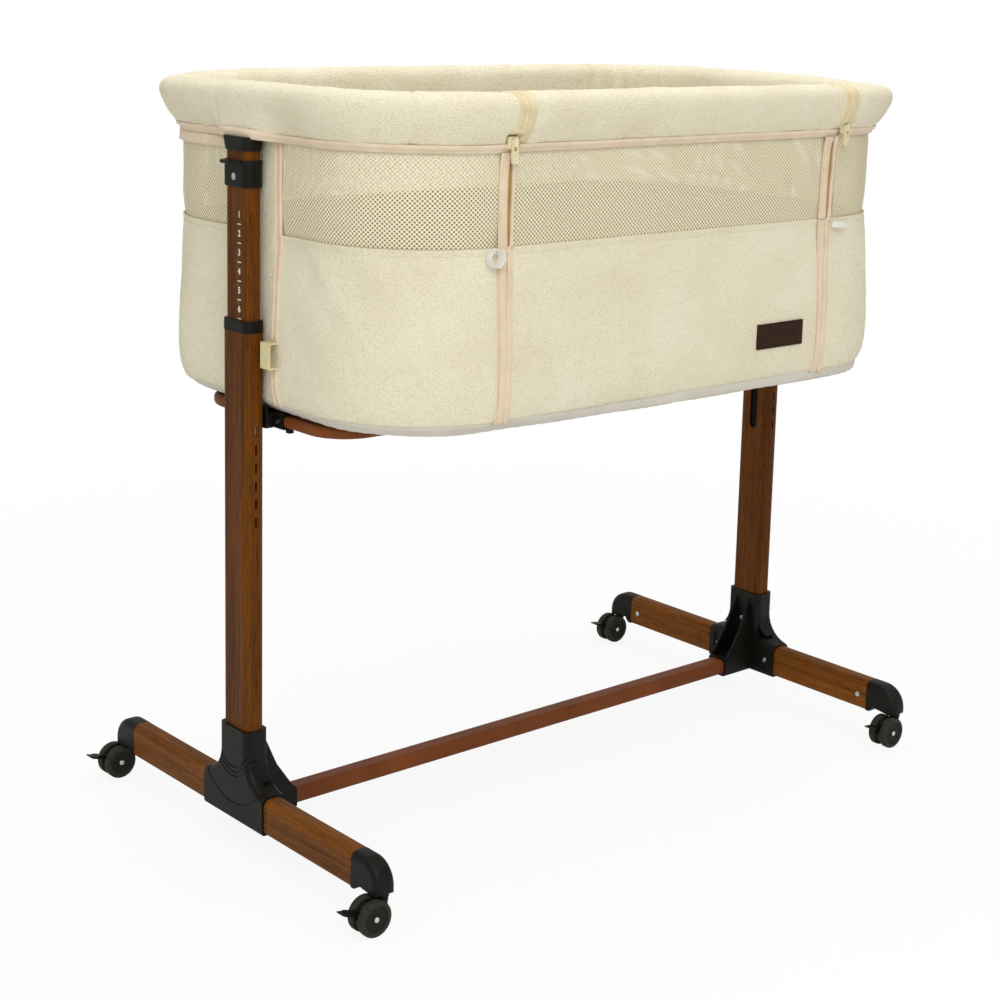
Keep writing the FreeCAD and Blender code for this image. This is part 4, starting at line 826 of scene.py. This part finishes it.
def bindings():
    """Peach binding between net and rim, in two pieces, and the net's hem that shows at the back left."""
    band = ribbed_band(BINDING_LINE, (1, 4), over_cap=OVER_CAP_LINE)
    fixed_end, drop_end = ZIP + 0.0045, ZIP - 0.0045
    for name, us, body, replaced in (
            ("peach_rim_binding", steps(fixed_end, ROUND - fixed_end, 0.005), "cradle", ("rim_binding",)),
            ("peach_rim_binding_drop_side", steps(-drop_end, drop_end, 0.005), "drop_side", ())):
        thing = section_strip(name, us, band, PEACH, body, replaced)
    start, stop = LEFT_END + 0.046, 1.10
    hem = section_strip("net_top_hem", steps(start, stop, 0.006), ribbed_band(HEM_LINE, (1,), 0.0004, 3),
                        PEACH, "cradle", ())


def valued(value, t):
    return value(t) if callable(value) else value


def standing_out(u, z, slack=0.25):
    """How far the front cloth stands out: the boucle's belly, and less of it on the net above."""
    return belly(u, min(z, MESH_LINE)) * (1 if z < MESH_LINE else slack)


# Section of an upright strip: places across in widths, and how far each stands out in thicknesses.
UPRIGHT_SECTION = ((-0.5, 0.0), (-0.46, 0.75), (-0.3, 1.0), (0.0, 1.06), (0.3, 1.0), (0.46, 0.75), (0.5, 0.0),
                   (0.3, -0.1), (-0.3, -0.1))
NARROWEST_SHEET = 0.0105


def upright(name, x, wide, low, high, out, thick, material=PEACH, body="cradle", replaced=(),
            wave=0.0, bow=0.0):
    """Soft strip up the front wall; x and wide may change with height, bow brings its top end forward."""
    rows, heights = [], steps(low, high, 0.004)
    for z in heights:
        t = (z - low) / (high - low)
        side = wave * math.sin(z * 70 + low * 31) * math.sin(math.pi * t)
        forward = out + standing_out(abs(valued(x, t)), z) + bow * (max(0.0, t - 0.75) / 0.25) ** 2
        rows.append([Vector((MIDDLE + valued(x, t) + side + share * valued(wide, t),
                             -HALF_DEEP - forward - rise * thick, z)) for share, rise in UPRIGHT_SECTION])
    lengths = [valued(wide, 0.5) / 6 * i for i in range(len(UPRIGHT_SECTION) + 1)]
    thing = cloth_grid(name, rows, False, True, (heights, lengths), caps=True)
    outward(thing)
    finish_piece(thing, material, body, replaced)
    if valued(wide, 0.5) > NARROWEST_SHEET:
        valued(wide, 0.5)


def swell_middle(t):
    """0 at both ends of a slit to 1 half way up, where the zip's edges part."""
    return max(0.0, math.sin(math.pi * clamped(t))) ** 0.7


def front_zip(name, flap, slit, lean, flap_body, cord_body, replaced):
    """One zip's front: flap left of the slit, piping right of it, a backing in it whose tan is painted shade
    of the tape's inside, and the seam below.
    """
    top = RIM_LOW - 0.004
    foot = {"cradle": MESH_LINE - 0.002, "drop_side": MESH_LINE + 0.0005}

    def slit_edge(t):
        return slit - 0.0020 * swell_middle(t) - lean * (1 - t)

    def flap_edge(t):
        return flap - lean * (1 - t)

    upright("placket_" + name, lambda t: (flap_edge(t) + slit_edge(t)) / 2,
            lambda t: slit_edge(t) - flap_edge(t), foot[flap_body], top, 0.0006, 0.0016,
            body=flap_body, bow=0.0030)
    upright("slit_piping_" + name, lambda t: slit + 0.0034 + 0.0008 * swell_middle(t) - lean * (1 - t),
            lambda t: 0.0052 - 0.0014 * swell_middle(t), foot[cord_body], top, 0.0006, 0.0034,
            body=cord_body, wave=0.0007, bow=0.0030)
    # The backing's tan is painted shade of the tape's inside in the slit.
    upright("zip_backing_" + name, slit + 0.0012 - lean / 2, 0.0075, MESH_LINE + 0.001, RIM_LOW,
            -0.0002, 0.0008, SLIT_TAN_PAINTED_SHADE)
    low = HEM - 0.001
    upright("placket_low_" + name, (flap + slit) / 2 - lean, slit - flap, low, MESH_LINE,
            0.0010, 0.0014, replaced=replaced)
    upright("piping_low_" + name, slit + 0.0006 - lean, 0.0040, low, MESH_LINE + 0.002,
            0.0012, 0.0028, wave=0.0003)
    upright("seam_low_" + name, slit + 0.0042 - lean, 0.0046, low, MESH_LINE + 0.001, 0.0010, 0.0016)


# Sections of the zip across the rim: distance from the zip's middle and height over the rim's cloth.
ZIP_TAPE = ((0.0018, 0.0006), (0.0034, 0.0008), (0.0052, 0.0007), (0.0062, 0.0008), (0.0070, 0.0018),
            (0.0078, 0.0008), (0.0100, 0.0007), (0.0122, 0.0006), (0.0126, 0.0001))
ZIP_COIL = ((0.0002, 0.0004), (0.0004, 0.0020), (0.0014, 0.0026), (0.0025, 0.0020), (0.0029, 0.0004))


def zip_over_rim(name, side, half, body):
    """Half of the zip across the rim: tape with a sewn ridge near its edge, and the row of coil turns."""
    outside, inside = RIM_LOW + (0.0125 if half > 0 else 0.006), RIM_HIGH - 0.009
    along = [i for i, p in enumerate(RIM_LINE) if p.y > (outside if p.x > 0.001 else inside)]
    centre = wall(-side * ZIP, RIM_CORE.x, RIM_CORE.y)
    for part, every, across, material in (("tape", 3, ZIP_TAPE, IVORY_TAPE), ("coil", 1, ZIP_COIL, ENAMEL)):
        loops = []
        for away, lift in across:
            shrink = 0.95 + 0.035 * clamped((away - 0.004) / 0.007)
            loops.append((rim_loop(-side * (ZIP + half * away), shrink, 1), lift))
        rows = []
        for i in along[::every]:
            tooth = 0.0005 * (i % 2) if part == "coil" else 0.0
            top = []
            for loop, lift in loops:
                way = loop[i] - centre
                way.x = 0
                top.append(loop[i] + way.normalized() * (lift - tooth))
            rows.append(top + [p + (centre - p).normalized() * 0.0012 for p in (top[-1], top[0])])
        us = [0.0008 * every * i for i in range(len(rows) + 1)]
        lengths = [0.0015 * i for i in range(len(rows[0]) + 1)]
        thing = cloth_grid("%s_%s" % (name, part), rows, False, True, (us, lengths), caps=True)
        outward(thing)
        finish_piece(thing, material, body, ())


def zips():
    front_zip("left", -0.2740, -0.2600, 0.0, "cradle", "drop_side", ("zip_tapes",))
    front_zip("right", 0.2365, 0.2510, 0.0035, "drop_side", "cradle", ())
    for name, side in SIDES:
        zip_over_rim("rim_zip_%s_fixed" % name, side, 1, "cradle")
        zip_over_rim("rim_zip_%s_drop" % name, side, -1, "drop_side")


def end_panels():
    """Boucle strip up the end wall behind each post, with a peach piped seam down its front edge."""
    for name, side in SIDES:
        middle, turn = (LEFT_END, 1) if side < 0 else (RIGHT_END, -1)
        buckle_low, buckle_high = span("buckle_" + name, 2)
        us = sorted(middle + turn * y for y in steps(-0.040, 0.022, 0.0045))
        foot, top = buckle_high - 0.0015, RIM_LOW + 0.002
        loop = [(0.0014, z) for z in steps(foot, top, 0.005)]
        loop += [(-0.0016, z) for z in (top, 0.76, MESH_LINE, foot)]

        def section(u):
            return [(out + 0.0005 * ripple(wall(u, out, z), 0.006, 12), z) for out, z in loop]

        thing = section_strip("boucle_end_strip_" + name, us, section, BOUCLE, "cradle", ())
        heights = steps(HEM - 0.001, RIM_LOW - 0.002, 0.005)
        for part, y, wide, proud in (("piping", -0.0405, 0.0036, 0.0030), ("tape", -0.0450, 0.0062, 0.0016),
                                     ("cord", -0.0490, 0.0030, 0.0026)):
            rows = []
            for z in heights:
                u = middle + turn * (y + 0.0004 * math.sin(z * 60))
                pressed = 0.0032 if buckle_low - 0.002 < z < buckle_high + 0.002 else 0.0
                base = standing_out(u, z, 0.2) - pressed
                rows.append([wall(u + share * wide, base + rise * proud, z) for share, rise in
                             ((-0.5, 0), (-0.4, 0.7), (0, 1), (0.4, 0.7), (0.5, 0), (0, -0.3))])
            lengths = [0.001 * i for i in range(len(rows[0]) + 1)]
            thing = cloth_grid("end_%s_%s" % (part, name), rows, False, True, (heights, lengths), caps=True)
            outward(thing)
            finish_piece(thing, PEACH, "cradle", ())


def stitch(shape, a, b, way):
    """One lockstitch from a to b as a flat-topped bar; way is the cloth's outward direction."""
    along = (b - a).normalized()
    across = along.cross(way) * 0.00035
    low, high, slope = way * -0.0003, way * 0.0004, along * 0.0003
    foot = [a + across + low, b + across + low, b - across + low, a - across + low]
    top = [a + across * 0.4 + high + slope, b + across * 0.4 + high - slope,
           b - across * 0.4 + high - slope, a - across * 0.4 + high + slope]
    v = [shape.verts.new(p) for p in foot + top]
    for ring in ((0, 1, 5, 4), (1, 2, 6, 5), (2, 3, 7, 6), (3, 0, 4, 7), (4, 5, 6, 7), (3, 2, 1, 0)):
        shape.faces.new([v[i] for i in ring])


# Flap stitches: place along the front, lean of the slit, and whether the row goes on above the mesh line.
FLAP_ROWS = ((-0.2722, 0.0, True), (-0.2625, 0.0, False), (0.2385, 0.0035, True), (0.2470, 0.0035, False))


def stitch_rows():
    """Lockstitch rows: 2.6 mm stitches every 3.6 mm, laid just on the cloth."""
    pitch, length = 0.0036, 0.0026
    round_seam, fixed, folding = bmesh.new(), bmesh.new(), bmesh.new()
    z = MESH_LINE - 0.0062
    for u in steps(0, ROUND - pitch, pitch):
        ends = [wall(place, belly(place, z) + 0.0008, z) for place in (u, u + length)]
        stitch(round_seam, *ends, outline(u)[1])
    for edge, lean, goes_on in FLAP_ROWS:
        for z in steps(HEM + 0.003, RIM_LOW - 0.014, pitch):
            above = z > MESH_LINE
            if above and not goes_on:
                continue
            t = max(0.0, (z - MESH_LINE) / (RIM_LOW - MESH_LINE))
            x = edge - lean * (1 - t)
            y = -HALF_DEEP - standing_out(abs(x), z) - (0.0023 if z < MESH_LINE else 0.0021)
            stitch(folding if above and edge > 0 else fixed, Vector((MIDDLE + x, y, z)),
                   Vector((MIDDLE + x, y, z + length)), Vector((0, -1, 0)))
    for name, shape, material, body in (("mesh_line_stitches", round_seam, CREAM_THREAD, "cradle"),
                                        ("flap_stitches", fixed, PEACH_THREAD, "cradle"),
                                        ("flap_stitches_drop_side", folding, PEACH_THREAD, "drop_side")):
        mesh = bpy.data.meshes.new(name)
        bmesh.ops.recalc_face_normals(shape, faces=shape.faces)
        shape.to_mesh(mesh)
        shape.free()
        finish_piece(linked(name, mesh), material, body, ())


# ---------------------------------------------------------------- ribbons, label, mattress and straps
RIBBON_SHARES = (-0.5, -0.17, 0.17, 0.5)


def ring_ribbon(mid):
    """The left ribbon stands open as a ring, with its ends overlapping in a spiral."""
    rows = []
    for step in range(15):
        turn = math.radians(-16 + 392 * step / 14)
        across = (0.0088 - 0.00006 * step) * math.cos(turn)
        rise = (0.0094 - 0.00006 * step) * math.sin(turn)
        rows.append([Vector((MIDDLE - 0.2830 + across * (1 + 0.22 * share) + 0.0012 * share,
                             -HALF_DEEP - 0.0082 - 0.0102 * share,
                             mid + 0.0015 + rise * (1 + 0.22 * share) + 0.0012 * share))
                     for share in RIBBON_SHARES])
    return rows


def flat_ribbon(mid):
    """The right ribbon lies nearly flat, folded back on itself."""
    fold = ((0.0000, 0.0030), (0.0080, 0.0052), (0.0175, 0.0062), (0.0242, 0.0056), (0.0262, 0.0042),
            (0.0225, 0.0036), (0.0120, 0.0034), (0.0030, 0.0024))
    return [[Vector((MIDDLE + 0.2512 + 0.92 * along + 0.003 * share, -HALF_DEEP - 0.0050 - out,
                     mid + 0.0052 - 0.12 * along + 0.0070 * share)) for share in RIBBON_SHARES]
            for along, out in fold]


def ribbon_loops():
    mid = sum(span("ribbon_loops", 2)) / 2
    for name, rows, replaced in (("left", ring_ribbon(mid), ("ribbon_loops",)),
                                 ("right", flat_ribbon(mid), ())):
        us = [0.006 * i for i in range(len(rows) + 1)]
        thing = cloth_grid("ribbon_loop_" + name, rows, False, False, (us, [0, .003, .006, .009]))
        finish_piece(thing, RIBBON, "cradle", replaced)
        thicken(thing, "ribbon", 0.0007)
        soft = thing.modifiers.new("soft_bend", "SUBSURF")
        soft.levels = soft.render_levels = 2


def label():
    """Dark leatherette label sewn on the boucle: cut corners, a pressed line inside its edge, left bare."""
    low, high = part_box("label_patch")
    middle = [(a + b) / 2 for a, b in zip(low, high)]
    front = -HALF_DEEP - belly(MIDDLE - middle[0], middle[2]) - 0.0011
    bpy.ops.object.select_all(action="DESELECT")
    bpy.ops.mesh.primitive_cube_add(size=1, location=(middle[0], front, middle[2]))
    patch = bpy.context.object
    patch.name = "leather_label"
    patch.scale = (high[0] - low[0], 0.0018, high[2] - low[2])
    bpy.ops.object.transform_apply(location=True, rotation=True, scale=True)

    def pick(kind, test):
        bpy.ops.object.mode_set(mode="EDIT")
        bpy.ops.mesh.select_all(action="DESELECT")
        bpy.ops.mesh.select_mode(type=kind)
        bpy.ops.object.mode_set(mode="OBJECT")
        for part in patch.data.edges if kind == "EDGE" else patch.data.polygons:
            part.select = test(part)
        bpy.ops.object.mode_set(mode="EDIT")

    def runs_deep(edge):
        a, b = [patch.data.vertices[v].co for v in edge.vertices]
        return abs(a.y - b.y) > 0.001

    pick("EDGE", runs_deep)
    bpy.ops.mesh.bevel(offset=0.0009, segments=1)
    pick("FACE", lambda f: f.normal.y < -0.9)
    bevel, border, slope, groove, pressed = 0.0003, 0.00055, 0.0001, 0.0002, 0.0003
    for wide, rise in ((bevel, bevel), (border, 0), (slope, -pressed), (groove, 0), (slope, pressed)):
        bpy.ops.mesh.inset(thickness=wide, depth=rise)
    bpy.ops.object.mode_set(mode="OBJECT")
    bpy.ops.object.shade_smooth_by_angle(angle=0.6)
    patch.data.materials.clear()
    patch.data.materials.append(LEATHER)
    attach(patch, "cradle")
    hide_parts("label_patch")
    bpy.ops.object.select_all(action="DESELECT")


def dimple(place):
    """Unevenness of the mattress's top."""
    return 0.0007 * ripple(place, 0.06, 11) - 0.0007


# The mattress's side and the edge of its top: outwards from the wall, and up from its underside.
MATTRESS_SIDE = ((-0.0125, 0.0), (-0.0095, 0.003), (-0.0085, 0.012), (-0.0082, 0.024), (-0.0088, 0.033),
                 (-0.0110, 0.0385), (-0.0150, 0.0415), (-0.0220, 0.0432), (-0.0330, 0.0442), (-0.048, 0.0449),
                 (-0.066, 0.0453), (-0.090, 0.0455), (-0.118, 0.0456))


def mattress():
    """Foam mattress in a fitted cotton cover: crowned top, rounded edge."""
    low = span("mattress", 2)[0]
    us = steps(0, ROUND, 0.010)
    rows = []
    for u in us[:-1]:
        row = []
        for out, rise in MATTRESS_SIDE:
            spot = wall(u, out, low + rise)
            spot.z += clamped((rise - 0.03) / 0.014) * dimple(spot)
            row.append(spot)
        edge = row[-1]
        for share in (0.75, 0.5, 0.25, 0.06):
            x = MIDDLE + (edge.x - MIDDLE) * (0.15 + 0.85 * share)
            spot = Vector((x, edge.y * share, low + 0.0457))
            spot.z += dimple(spot)
            row.append(spot)
        rows.append(row + [Vector((MIDDLE, 0, low + 0.0452)), Vector((MIDDLE, 0, low + 0.0004))])
    lengths = [0.006 * i for i in range(len(rows[0]) + 1)]
    thing = cloth_grid("mattress_cover", rows, True, True, (us, lengths))
    outward(thing)
    finish_piece(thing, COTTON, "cradle", ("mattress",))


def frame_straps():
    """White tabs that hold the bottom cloth to the steel loop."""
    middle = sum(span("base_frame", 2)) / 2
    deep = span("base_frame", 1)[1] - 0.010
    half_out, half_tall, wide = 0.0114, 0.0078, 0.025
    for index, (x, side) in enumerate(((-0.30, -1), (0.30, -1), (-0.30, 1), (0.30, 1), (0.0, -1), (0.0, 1))):
        rows = []
        for step in range(21):
            turn = 2 * math.pi * step / 20
            cos, sin = math.cos(turn), math.sin(turn)
            y = side * deep + half_out * math.copysign(abs(cos) ** 0.5, cos)
            z = middle + half_tall * math.copysign(abs(sin) ** 0.6, sin)
            rows.append([Vector((MIDDLE + x + dx, y, z)) for dx in (-wide / 2, -0.004, 0.004, wide / 2)])
        us = [0.002 * i for i in range(22)]
        thing = cloth_grid("frame_strap_%d" % index, rows, False, False, (us, [0, .008, .016, .024]))
        finish_piece(thing, WHITE_PAINTED_SHADE, "cradle", ())
        thicken(thing, "strap", 0.0008)


# ---------------------------------------------------------------- numbers on the inner posts
def printed(thing, name):
    """Name a printed mark, apply its place and give it the ink."""
    thing.name = name
    bpy.ops.object.transform_apply(location=True, rotation=True, scale=True)
    finish_piece(thing, INK, "cradle", ())
    bpy.ops.object.select_all(action="DESELECT")


def post_numbers():
    """Height levels 1 to 6 printed on the outer face of each inner post, a dash under each."""
    top, pitch, tall, beside, dash_below = 0.7283, 0.02068, 0.0098, 0.007, 0.0103
    for name, side in SIDES:
        face = span("inner_post_" + name, 0)[0 if side < 0 else 1] + side * 0.00005
        for number in range(1, 7):
            z = top - (number - 1) * pitch
            bpy.ops.object.text_add()
            text = bpy.context.object
            text.data.body = str(number)
            text.data.size = tall
            text.data.align_x = "CENTER"
            text.data.align_y = "CENTER"
            text.data.extrude = 0.00003
            text.data.offset = 0.00022
            text.rotation_euler = (math.pi / 2, 0, side * math.pi / 2)
            text.location = (face, side * beside, z)
            bpy.ops.object.convert(target="MESH")
            printed(text, "level_%d_%s" % (number, name))
            bpy.ops.mesh.primitive_cube_add(size=1, location=(face, side * beside, z - dash_below))
            dash = bpy.context.object
            dash.scale = (0.00008, 0.0070, 0.0012)
            printed(dash, "level_dash_%d_%s" % (number, name))


# ---------------------------------------------------------------- finishes of the solid pieces
def dress(names, material):
    for name in names:
        thing = NODES[name]
        thing.data.materials.clear()
        thing.data.materials.append(material)


def pairs(*kinds):
    return [kind + "_" + name for kind in kinds for name, side in SIDES]


def finishes():
    corners = ("front_left", "back_left", "front_right", "back_right")
    dress(pairs("outer_post"), WALNUT_UP)
    dress(pairs("inner_post"), WALNUT_INNER)
    dress(pairs("foot_bar"), WALNUT_ACROSS)
    dress(["stretcher_bar", "base_frame"], BROWN)
    dress(pairs("tee", "post_collar", "post_cap", "release_handle", "frame_bracket"), BLACK)
    dress([kind + corner for kind in ("foot_cap_", "brake_pedal_") for corner in corners], BLACK)
    dress(pairs("pull_rod", "latch_hook") + ["stand_screws", "bracket_screws", "top_rail", "drop_rail"], ZINC)
    dress(pairs("buckle"), ACETAL)
    dress(pairs("zip_slider", "zip_pull"), ENAMEL)
    dress(["base_board"], BOARD)
    for corner in corners:
        low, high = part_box("caster_wheels_" + corner)
        centre = [(a + b) / 2 for a, b in zip(low, high)]
        dress(["caster_wheels_" + corner], caster_rubber(corner, centre))
        dress(["caster_yoke_" + corner], black_moulding("black_grained_pp_" + corner, centre))


side_cloth()
cotton_lining()
bottom_cloth()
rim()
bindings()
nets()
zips()
end_panels()
stitch_rows()
ribbon_loops()
label()
mattress()
frame_straps()
post_numbers()
finishes()
